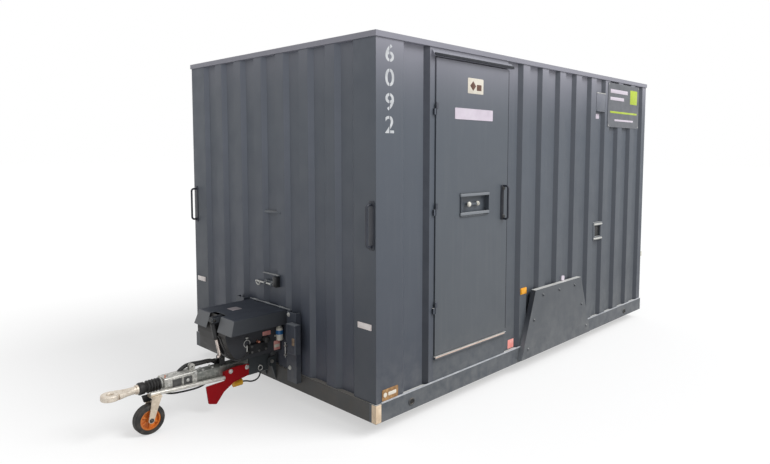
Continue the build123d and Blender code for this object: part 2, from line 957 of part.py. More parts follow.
nodes = {
    "side_bottom_rails": side_rails((ground_gap, rail_top)),
    "end_bottom_rails": end_rails((ground_gap, rail_top)),
    "side_top_rails": side_rails((wall_top, roof_top)),
    "end_top_rails": end_rails((wall_top, roof_top)),
    "corner_posts": corner_posts(),
    "front_wall": wall_panel(end_line, on_front),
    "rear_wall": wall_panel(end_line, on_rear),
    "left_wall": wall_panel(left_line, on_left),
    "right_wall_front": right_wall_front(),
    "right_wall_rear": right_wall_rear(),
    "floor_deck": floor_deck(),
    "chassis_beams": chassis_beams(),
    "cross_bearers": cross_bearers(),
    "roof_panel": roof_panel(),
    "door_jamb_front": door_jamb_front(),
    "door_jamb_rear": door_jamb_rear(),
    "door_head": door_head(),
    "kick_panel": kick_panel(),
    "door_sill": door_sill(),
    "drip_rail": drip_rail(),
    "door_upper_panel": door_panel((lock_bottom + lock_height, door_top)),
    "door_lock_rail": door_lock_rail(),
    "door_lower_panel": door_panel((door_bottom, lock_bottom)),
    "door_hinges": door_hinges(),
    "door_lock": door_lock(),
    "door_handle": door_handle(),
    "grab_handles": grab_handles(),
    "wheel_covers": wheel_covers(),
    "sign_board": sign_board(),
    "rear_markers": rear_markers(),
    "mast_posts": mast_posts(),
    "latch_box": latch_box(),
    "pump_box": pump_box(),
    "hood_lid": hood_lid(),
    "ram_bracket": ram_bracket(),
    "drawbar_lugs": drawbar_lugs(),
    "drawbar_pin": drawbar_pin(),
    "hand_pump": hand_pump(),
    "fluid_bottle": fluid_bottle(),
    "drawbar_beam": drawbar_beam(),
    "coupling_tube": coupling_tube(),
    "coupling_housing": coupling_housing(),
    "tow_eye": tow_eye(),
    "bellows": bellows(),
    "handbrake_lever": handbrake_lever(),
    "ram_lug": ram_lug(),
    "ram_barrel": ram_barrel(),
    "ram_rod": ram_rod(),
    "jockey_tyre": jockey_tyre(),
    "jockey_rim": jockey_rim(),
    "jockey_fork": jockey_fork(),
    "jockey_arm": jockey_arm(),
    "jockey_bracket": jockey_bracket(),
    "plug_cap": plug_cap(),
}

os.makedirs("parts", exist_ok=True)
for name, solid in nodes.items():
    export_step(solid, f"parts/{name}.step")
    print(f"{name}: {solid.volume / 1e6:.2f} litres")
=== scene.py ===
import math
import bpy
from mathutils import Matrix, Vector


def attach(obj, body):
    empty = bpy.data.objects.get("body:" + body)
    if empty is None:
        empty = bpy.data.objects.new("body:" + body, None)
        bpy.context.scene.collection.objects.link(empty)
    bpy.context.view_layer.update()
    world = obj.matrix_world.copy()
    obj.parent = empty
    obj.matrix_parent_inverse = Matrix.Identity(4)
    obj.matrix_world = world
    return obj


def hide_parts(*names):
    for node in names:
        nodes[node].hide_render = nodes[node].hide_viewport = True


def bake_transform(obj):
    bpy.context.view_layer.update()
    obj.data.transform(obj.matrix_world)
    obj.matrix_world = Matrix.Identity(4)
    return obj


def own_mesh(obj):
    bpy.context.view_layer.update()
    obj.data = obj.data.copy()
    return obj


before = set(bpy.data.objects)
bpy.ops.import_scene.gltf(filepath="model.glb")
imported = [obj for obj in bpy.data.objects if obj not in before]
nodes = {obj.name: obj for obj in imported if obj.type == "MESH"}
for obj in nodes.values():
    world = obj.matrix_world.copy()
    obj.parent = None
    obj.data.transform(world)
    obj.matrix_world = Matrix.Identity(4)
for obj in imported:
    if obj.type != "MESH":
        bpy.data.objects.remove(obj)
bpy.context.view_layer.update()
scene = bpy.context.scene
print("frame loaded:", len(nodes), "nodes")


# materials

def srgb(red, green, blue):
    def toLinear(value):
        value /= 255
        return value / 12.92 if value <= 0.04045 else ((value + 0.055) / 1.055) ** 2.4
    return (toLinear(red), toLinear(green), toLinear(blue), 1)


def newMaterial(name):
    material = bpy.data.materials.new(name)
    material.use_nodes = True
    tree = material.node_tree
    shader = tree.nodes["Principled BSDF"]
    return material, tree, shader


def addNode(tree, kind, **values):
    node = tree.nodes.new(kind)
    for key, value in values.items():
        if key in node.inputs:
            node.inputs[key].default_value = value
        else:
            setattr(node, key, value)
    return node


def objectNoise(tree, scale, detail=3, stretch=(1, 1, 1), roughness=0.55):
    coords = addNode(tree, "ShaderNodeTexCoord")
    mapping = addNode(tree, "ShaderNodeMapping")
    mapping.inputs["Scale"].default_value = stretch
    noise = addNode(tree, "ShaderNodeTexNoise", Scale=scale, Detail=detail, Roughness=roughness)
    tree.links.new(coords.outputs["Object"], mapping.inputs["Vector"])
    tree.links.new(mapping.outputs["Vector"], noise.inputs["Vector"])
    return noise.outputs["Fac"]


def remap(tree, source, low, high, newLow=0, newHigh=1):
    node = tree.nodes.new("ShaderNodeMapRange")
    for socket, value in zip(list(node.inputs)[1:5], (low, high, newLow, newHigh)):
        socket.default_value = value
    tree.links.new(source, node.inputs["Value"])
    return node.outputs["Result"]


# noise with its middle range spread between two values
def mottle(tree, scale, detail, low=0, high=1, stretch=(1, 1, 1)):
    return remap(tree, objectNoise(tree, scale, detail, stretch), 0.3, 0.7, low, high)


def maths(tree, operation, first, second):
    node = addNode(tree, "ShaderNodeMath", operation=operation)
    for socket, value in zip(node.inputs, (first, second)):
        if isinstance(value, (int, float)):
            socket.default_value = value
        else:
            tree.links.new(value, socket)
    return node.outputs["Value"]


def mixColor(tree, share, first, second, blend="MIX"):
    node = addNode(tree, "ShaderNodeMix", data_type="RGBA", blend_type=blend)
    for socket, value in zip((node.inputs[0], node.inputs[6], node.inputs[7]), (share, first, second)):
        if isinstance(value, bpy.types.NodeSocket):
            tree.links.new(value, socket)
        else:
            socket.default_value = value
    return node.outputs[2]


def addBump(tree, shader, layers, softEdge=0):
    normal = None
    if softEdge:
        normal = addNode(tree, "ShaderNodeBevel", samples=4, Radius=softEdge).outputs["Normal"]
    for height, strength, distance in layers:
        bump = addNode(tree, "ShaderNodeBump", Strength=strength, Distance=distance)
        tree.links.new(height, bump.inputs["Height"])
        if normal is not None:
            tree.links.new(normal, bump.inputs["Normal"])
        normal = bump.outputs["Normal"]
    tree.links.new(normal, shader.inputs["Normal"])


def objectAxis(tree, axis):
    coords = addNode(tree, "ShaderNodeTexCoord")
    split = addNode(tree, "ShaderNodeSeparateXYZ")
    tree.links.new(coords.outputs["Object"], split.inputs["Vector"])
    return split.outputs[axis]


def facingShare(tree, axis, start, end):
    geometry = addNode(tree, "ShaderNodeNewGeometry")
    split = addNode(tree, "ShaderNodeSeparateXYZ")
    tree.links.new(geometry.outputs["Normal"], split.inputs["Vector"])
    return remap(tree, split.outputs[axis], start, end)


paintedEdge = 0.002  # edges catch the light as if rounded by this much
# settings of the paint's dust and wear and of its painted light and shade
weatherAndLight = {
    "groundShadeHeights": (0.3, 1.9), "skySheenHeights": (1.75, 2.45), "skySheenCurve": 3, "skySheenColor": srgb(150, 150, 161),
    "tones": (0.94, 1.06), "streaks": (0.52, 0.78, 0.0, 0.035), "splashes": (0.35, 0.75, 0.0, 0.25), "splashDull": 0.35,
    "topFaces": (0.5, 0.95), "paintedLightFaces": (-0.3, -0.6), "paintedLightShares": (0.75, 1.0),
    "ledgeShareHeights": (0.7, 1.6), "roofLedgeShare": 0.06, "chips": (0.715, 0.76), "chipLift": 1.9,
}


# sprayed paint on steel sheet, with road dust low down and on ledges; it also paints light and shade: shade near the
# ground, a sky sheen near the top, light and shade on faces that look one way, and a highlight on ledges
def paintMaterial(name, paint, dust, rough=(0.40, 0.56), lining=None, wear=0.5, dustLow=(0.10, 0.55), sheen=0.5,
                  ledges=(0.85, 1.0), front=None, ledgeColor=None, low=(1, 1, 1), paintedLightAxis="X",
                  paintedLightSpan=(0.3, 1.9), skySheenShare=1.0):
    # low sets the painted shade near the ground, front the painted light and shade of faces that look one way
    material, tree, shader = newMaterial(name)
    height = objectAxis(tree, "Z")
    onTop = facingShare(tree, "Z", *weatherAndLight["topFaces"])
    groundShaded = tuple(value * share for value, share in zip(paint, low)) + (1,)
    color = mixColor(tree, remap(tree, height, *weatherAndLight["groundShadeHeights"]), groundShaded, paint)  # painted shade: darker towards the ground
    # painted reflection of the sky, growing towards the roof; side faces take a set share of it, top faces none
    skySheen = maths(tree, "POWER", remap(tree, height, *weatherAndLight["skySheenHeights"]), weatherAndLight["skySheenCurve"])
    skySheen = maths(tree, "MULTIPLY", skySheen, remap(tree, onTop, 0, 1, skySheenShare, 0))
    color = mixColor(tree, skySheen, color, weatherAndLight["skySheenColor"])  # painted sheen: side faces lighter towards the top, a painted reflection of the sky
    color = mixColor(tree, 1, color, mottle(tree, 1.3, 4, *weatherAndLight["tones"]), "MULTIPLY")
    streak = remap(tree, objectNoise(tree, 5.0, 5, (6, 6, 0.35)), *weatherAndLight["streaks"])
    color = mixColor(tree, streak, color, dust)  # rain runs down the sheet
    splash = remap(tree, objectNoise(tree, 14, 6), *weatherAndLight["splashes"])
    splash = maths(tree, "MULTIPLY", remap(tree, height, *dustLow, 1, 0), splash)
    color = mixColor(tree, splash, color, dust)
    if front:  # painted light and shade: faces that look one way get a lighter or darker tone of their own, from low to high
        ahead = facingShare(tree, paintedLightAxis, *weatherAndLight["paintedLightFaces"])
        ahead = maths(tree, "MULTIPLY", ahead, mottle(tree, 7, 4, *weatherAndLight["paintedLightShares"]))
        color = mixColor(tree, ahead, color, mixColor(tree, remap(tree, height, *paintedLightSpan), *front))
    # top faces take the ledge colour: dust with a painted highlight
    onLedge = maths(tree, "MULTIPLY", onTop, mottle(tree, 9, 5, *ledges))
    lowDown = remap(tree, height, *weatherAndLight["ledgeShareHeights"], 1, weatherAndLight["roofLedgeShare"])  # less of it up on the roof
    color = mixColor(tree, maths(tree, "MULTIPLY", onLedge, lowDown), color, ledgeColor or dust)
    scuff = remap(tree, objectNoise(tree, 34, 8, (1, 1, 0.6), 0.7), *weatherAndLight["chips"], 0, wear)
    rubbed = tuple(min(1, value * weatherAndLight["chipLift"]) for value in paint[:3]) + (1,)
    color = mixColor(tree, scuff, color, rubbed)  # small chips and rubs
    if lining:
        places = [maths(tree, "ABSOLUTE", objectAxis(tree, axis), 0) for axis in "XY"] + [height]
        within = [maths(tree, "LESS_THAN", place, limit) for place, limit in zip(places, lining["inside"])]
        indoors = maths(tree, "MULTIPLY", maths(tree, "MULTIPLY", within[0], within[1]), within[2])
        board = mixColor(tree, mottle(tree, 3, 3), lining["dark"], lining["light"])
        color = mixColor(tree, indoors, color, board)
    tree.links.new(color, shader.inputs["Base Color"])
    dull = maths(tree, "MULTIPLY", splash, weatherAndLight["splashDull"])
    tree.links.new(maths(tree, "ADD", mottle(tree, 6, 5, *rough), dull), shader.inputs["Roughness"])
    shader.inputs["Specular IOR Level"].default_value = sheen
    addBump(tree, shader, [
        (objectNoise(tree, 2.4, 2), 0.10, 0.02),      # slow waves of the sheet
        (objectNoise(tree, 420, 2), 0.05, 0.0008),    # orange peel
    ], paintedEdge)
    return material


def steelMaterial(name, light, dark, rough=(0.28, 0.45), metal=0.9, grain=(1, 1, 1), scale=40, stain=None,
                  stainShare=0.3):
    material, tree, shader = newMaterial(name)
    color = mixColor(tree, mottle(tree, scale, 5, stretch=grain), dark, light)
    if stain:
        spots = remap(tree, objectNoise(tree, 26, 7, (1, 1, 1), 0.65), 0.52, 0.72, 0, stainShare)
        color = mixColor(tree, spots, color, stain)
    tree.links.new(color, shader.inputs["Base Color"])
    tree.links.new(mottle(tree, scale * 1.7, 4, *rough, grain), shader.inputs["Roughness"])
    shader.inputs["Metallic"].default_value = metal
    addBump(tree, shader, [(objectNoise(tree, scale * 6, 3, grain), 0.12, 0.0006)])
    return material


# zinc flowers on hot-dipped steel
def zincMaterial(name, light, dark):
    material, tree, shader = newMaterial(name)
    coords = addNode(tree, "ShaderNodeTexCoord")
    flower = addNode(tree, "ShaderNodeTexVoronoi", Scale=70)
    tree.links.new(coords.outputs["Object"], flower.inputs["Vector"])
    split = addNode(tree, "ShaderNodeSeparateColor")
    tree.links.new(flower.outputs["Color"], split.inputs["Color"])
    color = mixColor(tree, remap(tree, split.outputs[0], 0, 1, 0.15, 0.85), dark, light)
    grime = remap(tree, objectNoise(tree, 11, 6), 0.55, 0.8, 0, 0.5)
    color = mixColor(tree, grime, color, srgb(112, 108, 100))
    tree.links.new(color, shader.inputs["Base Color"])
    tree.links.new(remap(tree, split.outputs[1], 0, 1, 0.30, 0.48), shader.inputs["Roughness"])
    shader.inputs["Metallic"].default_value = 0.55
    addBump(tree, shader, [(objectNoise(tree, 160, 3), 0.10, 0.0008)], paintedEdge)
    return material


def plasticMaterial(name, light, dark, rough=(0.35, 0.5), grainScale=260, dust=None, dustShare=0.3):
    material, tree, shader = newMaterial(name)
    color = mixColor(tree, mottle(tree, 12, 4), dark, light)
    if dust:
        powder = remap(tree, objectNoise(tree, 22, 6), 0.45, 0.75, 0, dustShare)
        color = mixColor(tree, powder, color, dust)
    tree.links.new(color, shader.inputs["Base Color"])
    tree.links.new(mottle(tree, 18, 4, *rough), shader.inputs["Roughness"])
    addBump(tree, shader, [(objectNoise(tree, grainScale, 2), 0.10, 0.0006)])
    return material


def floorBoardMaterial():
    material, tree, shader = newMaterial("deckBoard")
    rings = objectNoise(tree, 4, 8, (0.6, 9, 1), 0.6)
    color = mixColor(tree, remap(tree, rings, 0.3, 0.7), srgb(92, 70, 50), srgb(150, 120, 88))
    tree.links.new(color, shader.inputs["Base Color"])
    tree.links.new(remap(tree, rings, 0.3, 0.7, 0.5, 0.75), shader.inputs["Roughness"])
    addBump(tree, shader, [(rings, 0.15, 0.001)])
    return material


roadDust = srgb(168, 168, 166)
slate = srgb(84, 91, 101)
liningBoard = {"inside": (1.874, 1.064, 2.4615), "light": srgb(226, 224, 216), "dark": srgb(206, 203, 194)}
# pale ledges: dust with a painted highlight
paleLedges = {"ledgeColor": srgb(214, 214, 211)}
# low darkens the paint towards the ground: painted shade
groundShadeLedgeLight = {"low": (0.81, 0.78, 0.73), **paleLedges}
lined = {"lining": liningBoard, **paleLedges}
noDust = {"dustLow": (-0.2, 0.0), "wear": 0.3, "sheen": 0.3}
# these paints darken towards the ground, painted shade, and are pale on ledges, dust with a painted highlight
greyPaint = paintMaterial("slatePaint", slate, roadDust, **groundShadeLedgeLight)
wallPaint = paintMaterial("slatePaintWall", slate, roadDust, lining=liningBoard, **groundShadeLedgeLight)
# faces looking to the front are drawn darker: painted shade; the jamb and the post are also darker low down: painted
# shade
sidePaint = paintMaterial("slatePaintSide", slate, roadDust, lining=liningBoard, **groundShadeLedgeLight,
                          front=(srgb(62, 67, 76), srgb(74, 79, 88)))
jambPaint = paintMaterial("slatePaintJamb", slate, roadDust, **lined, low=(0.63, 0.62, 0.65),
                          front=(srgb(14, 20, 32), srgb(44, 49, 61)))
postPaint = paintMaterial("slatePaintPost", slate, roadDust, **lined, low=(0.60, 0.59, 0.62),
                          front=(srgb(62, 67, 75), srgb(84, 91, 101)))
# faces of the end walls looking to the side are drawn lighter: painted light; they darken strongly towards the ground,
# painted shade, and take less of the painted sky sheen
endPaint = paintMaterial("slatePaintEnd", slate, srgb(112, 108, 104), **lined, low=(0.56, 0.55, 0.62),
                         front=(srgb(74, 79, 88), srgb(112, 118, 130)), paintedLightAxis="Y", skySheenShare=0.3)
# the end rails get darker and browner towards the ground
endRailPaint = paintMaterial("slatePaintEndRail", slate, srgb(104, 94, 82), ledgeColor=srgb(150, 146, 140),
                             low=(0.56, 0.48, 0.38))
doorPaint = paintMaterial("slatePaintDoor", srgb(85, 92, 101), roadDust, rough=(0.36, 0.50), wear=0.3, **groundShadeLedgeLight)
# darker copy of the slate paint for the mast, its latch box and the door hinges: painted shade
shadedMastPaint = paintMaterial("slatePaintMastShaded", srgb(60, 65, 75), roadDust, ledgeColor=srgb(120, 124, 130), wear=0.4)
beamPaint = paintMaterial("slatePaintBeam", srgb(58, 63, 66), srgb(120, 118, 112), dustLow=(-0.1, 0.2),
                          ledges=(0.2, 0.5))
# lighter copy of the slate paint: painted highlight
highlightPaint = paintMaterial("slatePaintHighlight", srgb(126, 131, 137), roadDust, wear=0.4)
frameSteel = paintMaterial("chassisPaint", srgb(58, 60, 64), srgb(118, 110, 98), rough=(0.55, 0.75),
                           dustLow=(-0.1, 0.4))
# faces of the covers looking to the front are drawn lighter low down and darker higher up: painted light and painted
# shade
coverPaint = paintMaterial("coverPaint", srgb(82, 86, 91), roadDust, rough=(0.46, 0.62), **paleLedges,
                           front=(srgb(134, 138, 144), srgb(58, 62, 70)), paintedLightSpan=(0.22, 0.45))
# the lid's front faces are drawn lighter: painted light; its darker dust tone also colours the top faces: painted shade
hoodPaint = paintMaterial("hoodPaint", srgb(68, 71, 76), srgb(52, 57, 67), rough=(0.42, 0.55), **noDust,
                          front=(srgb(116, 118, 121),) * 2)
# the tub's faces looking to the front are drawn darker: painted shade
tubPaint = paintMaterial("tubPaint", srgb(64, 65, 69), srgb(62, 58, 54), rough=(0.45, 0.6), **noDust,
                         front=(srgb(60, 58, 56),) * 2)
redPaint = paintMaterial("redPaint", srgb(158, 0, 14), srgb(160, 50, 50), rough=(0.35, 0.5), wear=0.25,
                         dustLow=(-0.2, 0.0), sheen=0.2)
zinc = zincMaterial("zincCoat", srgb(214, 212, 206), srgb(150, 150, 145))
tubeZinc = zincMaterial("zincTube", srgb(160, 161, 155), srgb(106, 109, 106))
armZinc = zincMaterial("zincArm", srgb(226, 223, 216), srgb(186, 184, 177))
forkZinc = zincMaterial("zincFork", srgb(224, 210, 190), srgb(202, 187, 166))
alongBar = (0.2, 6, 6)  # grain drawn along X
bareSteel = steelMaterial("bareSteel", srgb(214, 210, 202), srgb(150, 146, 140), grain=alongBar,
                          stain=srgb(150, 112, 84))
sillSteel = steelMaterial("sillSteel", srgb(226, 206, 194), srgb(196, 174, 160), (0.4, 0.55), 0.4, alongBar)
darkSteel = steelMaterial("darkSteel", srgb(64, 62, 60), srgb(40, 39, 38), (0.38, 0.55), 0.6)
chromeRod = steelMaterial("chromeRod", srgb(226, 214, 206), srgb(200, 186, 178), (0.16, 0.28), 0.85)
forgedSteel = steelMaterial("forgedSteel", srgb(236, 226, 212), srgb(212, 200, 184), (0.38, 0.55), 0.4, scale=130,
                            stain=srgb(150, 112, 88), stainShare=0.4)
paleSteel = steelMaterial("paleSteel", srgb(216, 216, 212), srgb(176, 176, 172), (0.32, 0.5), 0.45, scale=60)
rustySteel = steelMaterial("rustySteel", srgb(150, 132, 112), srgb(110, 92, 76), (0.5, 0.7), 0.3,
                           stain=srgb(128, 74, 40), stainShare=0.6)
oldZinc = steelMaterial("oldZinc", srgb(104, 104, 102), srgb(70, 70, 70), (0.5, 0.7), 0.3)
copperFitting = steelMaterial("copperFitting", srgb(214, 150, 128), srgb(176, 108, 88), (0.3, 0.5), 0.5)
bronzeBadge = steelMaterial("bronzeBadge", srgb(196, 154, 104), srgb(134, 98, 62), (0.35, 0.55), 0.4,
                            stain=srgb(70, 54, 40), stainShare=0.5)
deckBoard = floorBoardMaterial()


# plastic, rubber, vinyl and plain paint with a film of dust
def dustyMaterial(name, light, dark, dust, dustShare, rough=(0.35, 0.5)):
    return plasticMaterial(name, srgb(*light), srgb(*dark), rough, dust=srgb(*dust), dustShare=dustShare)


blackPaint = dustyMaterial("blackPaint", (26, 27, 30), (16, 17, 19), (84, 83, 80), 0.14)
handlePaint = dustyMaterial("handlePaint", (50, 54, 65), (40, 44, 54), (88, 90, 96), 0.12)
blackRubber = dustyMaterial("blackRubber", (27, 27, 28), (17, 17, 18), (92, 88, 84), 0.2, (0.5, 0.7))
tyreRubber = dustyMaterial("tyreRubber", (40, 39, 38), (26, 26, 26), (116, 106, 96), 0.35, (0.6, 0.8))
orangePlastic = dustyMaterial("orangePlastic", (232, 138, 52), (206, 108, 36), (150, 110, 80), 0.3)
yellowPlastic = dustyMaterial("yellowPlastic", (255, 200, 48), (250, 176, 28), (170, 140, 80), 0.2)
whitePlastic = dustyMaterial("whitePlastic", (238, 236, 226), (222, 218, 204), (180, 172, 158), 0.25)
bluePlastic = dustyMaterial("bluePlastic", (52, 128, 192), (34, 98, 160), (120, 130, 140), 0.15)
creamVinyl = dustyMaterial("creamVinyl", (240, 234, 220), (228, 220, 204), (190, 182, 168), 0.2)
brownVinyl = dustyMaterial("brownVinyl", (112, 74, 52), (92, 58, 42), (150, 130, 116), 0.2)
signVinyl = dustyMaterial("signVinyl", (232, 222, 234), (220, 208, 222), (196, 192, 196), 0.2)
dullVinyl = dustyMaterial("dullVinyl", (176, 166, 168), (150, 142, 146), (130, 128, 128), 0.4)
limeVinyl = dustyMaterial("limeVinyl", (196, 218, 48), (178, 202, 36), (190, 190, 150), 0.15)
patchVinyl = dustyMaterial("patchVinyl", (250, 168, 158), (240, 132, 122), (250, 228, 222), 0.6)
cornerTape = dustyMaterial("cornerTape", (244, 222, 194), (226, 200, 168), (170, 150, 126), 0.35)
# pale finish of the rail ledges: dust and a painted highlight
ledgeDustAndHighlight = dustyMaterial("ledgeDustAndHighlight", (204, 206, 210), (160, 164, 170), (120, 124, 130), 0.3)
stencilWhite = dustyMaterial("stencilWhite", (226, 228, 230), (206, 209, 213), (120, 124, 130), 0.35, (0.45, 0.6))
boardFace = dustyMaterial("boardFace", (104, 107, 114), (90, 93, 100), (140, 140, 138), 0.15, (0.3, 0.42))
# very dark finish of the strips that paint shadow under the drip rail and in the jamb, and of the plate behind the door
# handle, which also paints its shadow
shadowRubber = plasticMaterial("shadowRubber", srgb(24, 28, 38), srgb(18, 21, 30), (0.7, 0.85))
amberLens = plasticMaterial("amberLens", srgb(255, 180, 4), srgb(240, 158, 2), (0.15, 0.25), 380)
clearLens = plasticMaterial("clearLens", srgb(255, 248, 245), srgb(246, 236, 234), (0.15, 0.25), 380)

nodeFinishes = [
    (greyPaint, "side_bottom_rails side_top_rails end_top_rails drip_rail door_sill"),
    (postPaint, "corner_posts"),
    (endPaint, "front_wall rear_wall"),
    (endRailPaint, "end_bottom_rails"),
    (shadedMastPaint, "mast_posts latch_box door_hinges"),
    (beamPaint, "drawbar_beam drawbar_lugs"),
    (wallPaint, "roof_panel door_jamb_rear door_head kick_panel"),
    (sidePaint, "left_wall right_wall_rear"),
    (jambPaint, "right_wall_front door_jamb_front"),
    (doorPaint, "door_upper_panel door_lock_rail door_lower_panel door_lock"),
    (frameSteel, "chassis_beams cross_bearers"),
    (coverPaint, "wheel_covers"),
    (hoodPaint, "hood_lid ram_bracket"),
    (tubPaint, "pump_box"),
    (deckBoard, "floor_deck"),
    (bareSteel, "drawbar_pin"),
    (darkSteel, "handbrake_lever"),
    (blackPaint, "hand_pump ram_barrel ram_lug"),
    (handlePaint, "grab_handles door_handle"),
    (boardFace, "sign_board"),
    (whitePlastic, "fluid_bottle rear_markers"),
    (zinc, "coupling_housing"),
    (tubeZinc, "coupling_tube"),
    (armZinc, "jockey_arm"),
    (forkZinc, "jockey_fork"),
    (redPaint, "jockey_bracket"),
    (yellowPlastic, "plug_cap"),
    (chromeRod, "ram_rod"),
    (forgedSteel, "tow_eye"),
    (blackRubber, "bellows"),
    (tyreRubber, "jockey_tyre"),
    (orangePlastic, "jockey_rim"),
]
for material, names in nodeFinishes:
    for name in names.split():
        slots = nodes[name].data.materials
        slots.clear()
        slots.append(material)
print("node finishes set")


# modelling steps shared by the pieces

toFront, toRight, upward = (-1, 0, 0), (0, -1, 0), (0, 0, 1)


def clearAll():
    bpy.ops.object.select_all(action="DESELECT")


def pickOnly(piece):
    clearAll()
    piece.select_set(True)
    bpy.context.view_layer.objects.active = piece


def settle():
    bpy.ops.object.transform_apply(location=True, rotation=True, scale=True)


def doneEditing():
    bpy.ops.object.mode_set(mode="OBJECT")


def startBlock(low, high):
    clearAll()
    bpy.ops.mesh.primitive_cube_add(size=1, location=[(a + b) / 2 for a, b in zip(low, high)])
    piece = bpy.context.object
    piece.scale = [b - a for a, b in zip(low, high)]
    settle()
    return piece


def startPicking(kind):
    bpy.ops.object.mode_set(mode="EDIT")
    bpy.ops.mesh.select_mode(type=kind)
    bpy.ops.mesh.select_all(action="DESELECT")
    doneEditing()


def pickFaces(piece, towards):
    startPicking("FACE")
    way = Vector(towards)
    for face in piece.data.polygons:
        face.select = face.normal.dot(way) > 0.99
    bpy.ops.object.mode_set(mode="EDIT")


def pickEdges(piece, axis):
    startPicking("EDGE")
    spots = piece.data.vertices
    for edge in piece.data.edges:
        run = (spots[edge.vertices[1]].co - spots[edge.vertices[0]].co).normalized()
        edge.select = abs(run[axis]) > 0.99
    bpy.ops.object.mode_set(mode="EDIT")


def roundEdges(piece, width):
    bpy.context.view_layer.objects.active = piece
    bevel = piece.modifiers.new("softEdges", "BEVEL")
    bevel.width = width
    bevel.segments = 2
    bevel.limit_method = "ANGLE"
    bevel.angle_limit = math.radians(32)
    bpy.ops.object.modifier_apply(modifier=bevel.name)


def pushFace(piece, towards, inset, depth):
    pickFaces(piece, towards)
    bpy.ops.mesh.inset(thickness=inset)
    bpy.ops.mesh.extrude_region_move(TRANSFORM_OT_translate={"value": Vector(towards) * depth})
    doneEditing()


def softBlock(low, high, edge):
    piece = startBlock(low, high)
    roundEdges(piece, edge)
    return piece


# block with one face drawn in and pushed
def facedBlock(low, high, towards, inset, depth, edge):
    piece = startBlock(low, high)
    pushFace(piece, towards, inset, depth)
    roundEdges(piece, edge)
    return piece


# block with one face made smaller or larger
def taperedBlock(low, high, towards, factors, edge):
    piece = startBlock(low, high)
    pickFaces(piece, towards)
    bpy.ops.transform.resize(value=factors)
    doneEditing()
    roundEdges(piece, edge)
    return piece


# block with one face moved sideways
def leaningBlock(low, high, towards, shift, edge):
    piece = startBlock(low, high)
    pickFaces(piece, towards)
    bpy.ops.transform.translate(value=shift)
    doneEditing()
    roundEdges(piece, edge)
    return piece


# flat plate with rounded corners round one axis and softened edges
def plate(low, high, axis, corner, edge=0.0005):
    piece = startBlock(low, high)
    pickEdges(piece, axis)
    bpy.ops.mesh.bevel(offset=corner, segments=4, affect="EDGES")
    doneEditing()
    roundEdges(piece, edge)
    return piece


# stack of discs drawn out along Z, then laid along an axis: (along, radius) pairs
def turnPiece(profile, place, axis, sides=24):
    clearAll()
    along, radius = profile[0]
    bpy.ops.mesh.primitive_circle_add(vertices=sides, radius=radius, fill_type="NGON", location=(0, 0, along))
    piece = bpy.context.object
    settle()
    bpy.ops.object.mode_set(mode="EDIT")
    bpy.ops.mesh.select_all(action="SELECT")
    for nextAlong, nextRadius in profile[1:]:
        bpy.ops.mesh.extrude_region_move(TRANSFORM_OT_translate={"value": (0, 0, nextAlong - along)})
        grow = nextRadius / radius
        bpy.ops.transform.resize(value=(grow, grow, 1), center_override=(0, 0, nextAlong))
        along, radius = nextAlong, nextRadius
    bpy.ops.mesh.select_all(action="SELECT")
    bpy.ops.mesh.normals_make_consistent(inside=False)
    doneEditing()
    return layAlong(piece, place, axis)


def layAlong(piece, place, axis):
    pickOnly(piece)
    piece.rotation_euler = Vector(axis).to_track_quat("Z", "Y").to_euler()
    piece.location = place
    settle()
    return piece


# round bar bent into a ring, with a little ovality
def ringPiece(place, axis, ringRadius, barRadius, oval=1.0, rings=28):
    clearAll()
    bpy.ops.mesh.primitive_torus_add(major_radius=ringRadius, minor_radius=barRadius,
                                     major_segments=rings, minor_segments=8)
    piece = bpy.context.object
    bpy.ops.object.mode_set(mode="EDIT")
    bpy.ops.mesh.select_all(action="SELECT")
    bpy.ops.transform.resize(value=(oval, 1, 1), center_override=(0, 0, 0))
    doneEditing()
    return layAlong(piece, place, axis)


def placeCopy(master, place, axis):
    copy = master.copy()
    copy.data = master.data.copy()
    bpy.context.collection.objects.link(copy)
    copy.data.transform(Matrix.Translation(place) @ Vector(axis).to_track_quat("Z", "Y").to_matrix().to_4x4())
    return copy


def joinPieces(pieces):
    clearAll()
    for piece in pieces:
        piece.select_set(True)
    bpy.context.view_layer.objects.active = pieces[0]
    bpy.ops.object.join()
    return pieces[0]


def dropPiece(piece):
    bpy.data.objects.remove(piece, do_unlink=True)


def finishPiece(piece, name, body, material, smooth=38):
    pickOnly(piece)
    bpy.ops.object.shade_smooth_by_angle(angle=math.radians(smooth))
    piece.name = name
    piece.data.name = name
    piece.data.materials.clear()
    piece.data.materials.append(material)
    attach(piece, body)
    return piece


# a span from near to far on the right (-1) or left (1) side
def sideSpan(side, near, far):
    return sorted((side * near, side * far))


# fastener heads are drawn at the origin, in shares of their size
heads = {
    "washer": [(0, 1.5), (0.28, 1.5), (0.34, 1.42)],
    "hexagon": [(0.3, 0.96), (0.36, 1), (0.95, 1), (1.1, 0.8)],
    "rivet": [(0, 1), (0.16, 1), (0.38, 0.86), (0.52, 0.6), (0.58, 0.28)],
}


def headPiece(key, size, sides):
    return turnPiece([(along * size, radius * size) for along, radius in heads[key]], (0, 0, 0), upward, sides)


def boltMaster(size):
    return joinPieces([headPiece("washer", size, 20), headPiece("hexagon", size, 6)])


def rivetMaster(size):
    return headPiece("rivet", size, 14)


def setFasteners(master, name, spots, body, material):
    row = [placeCopy(master, place, axis) for place, axis in spots]
    dropPiece(master)
    return finishPiece(joinPieces(row), name, body, material)


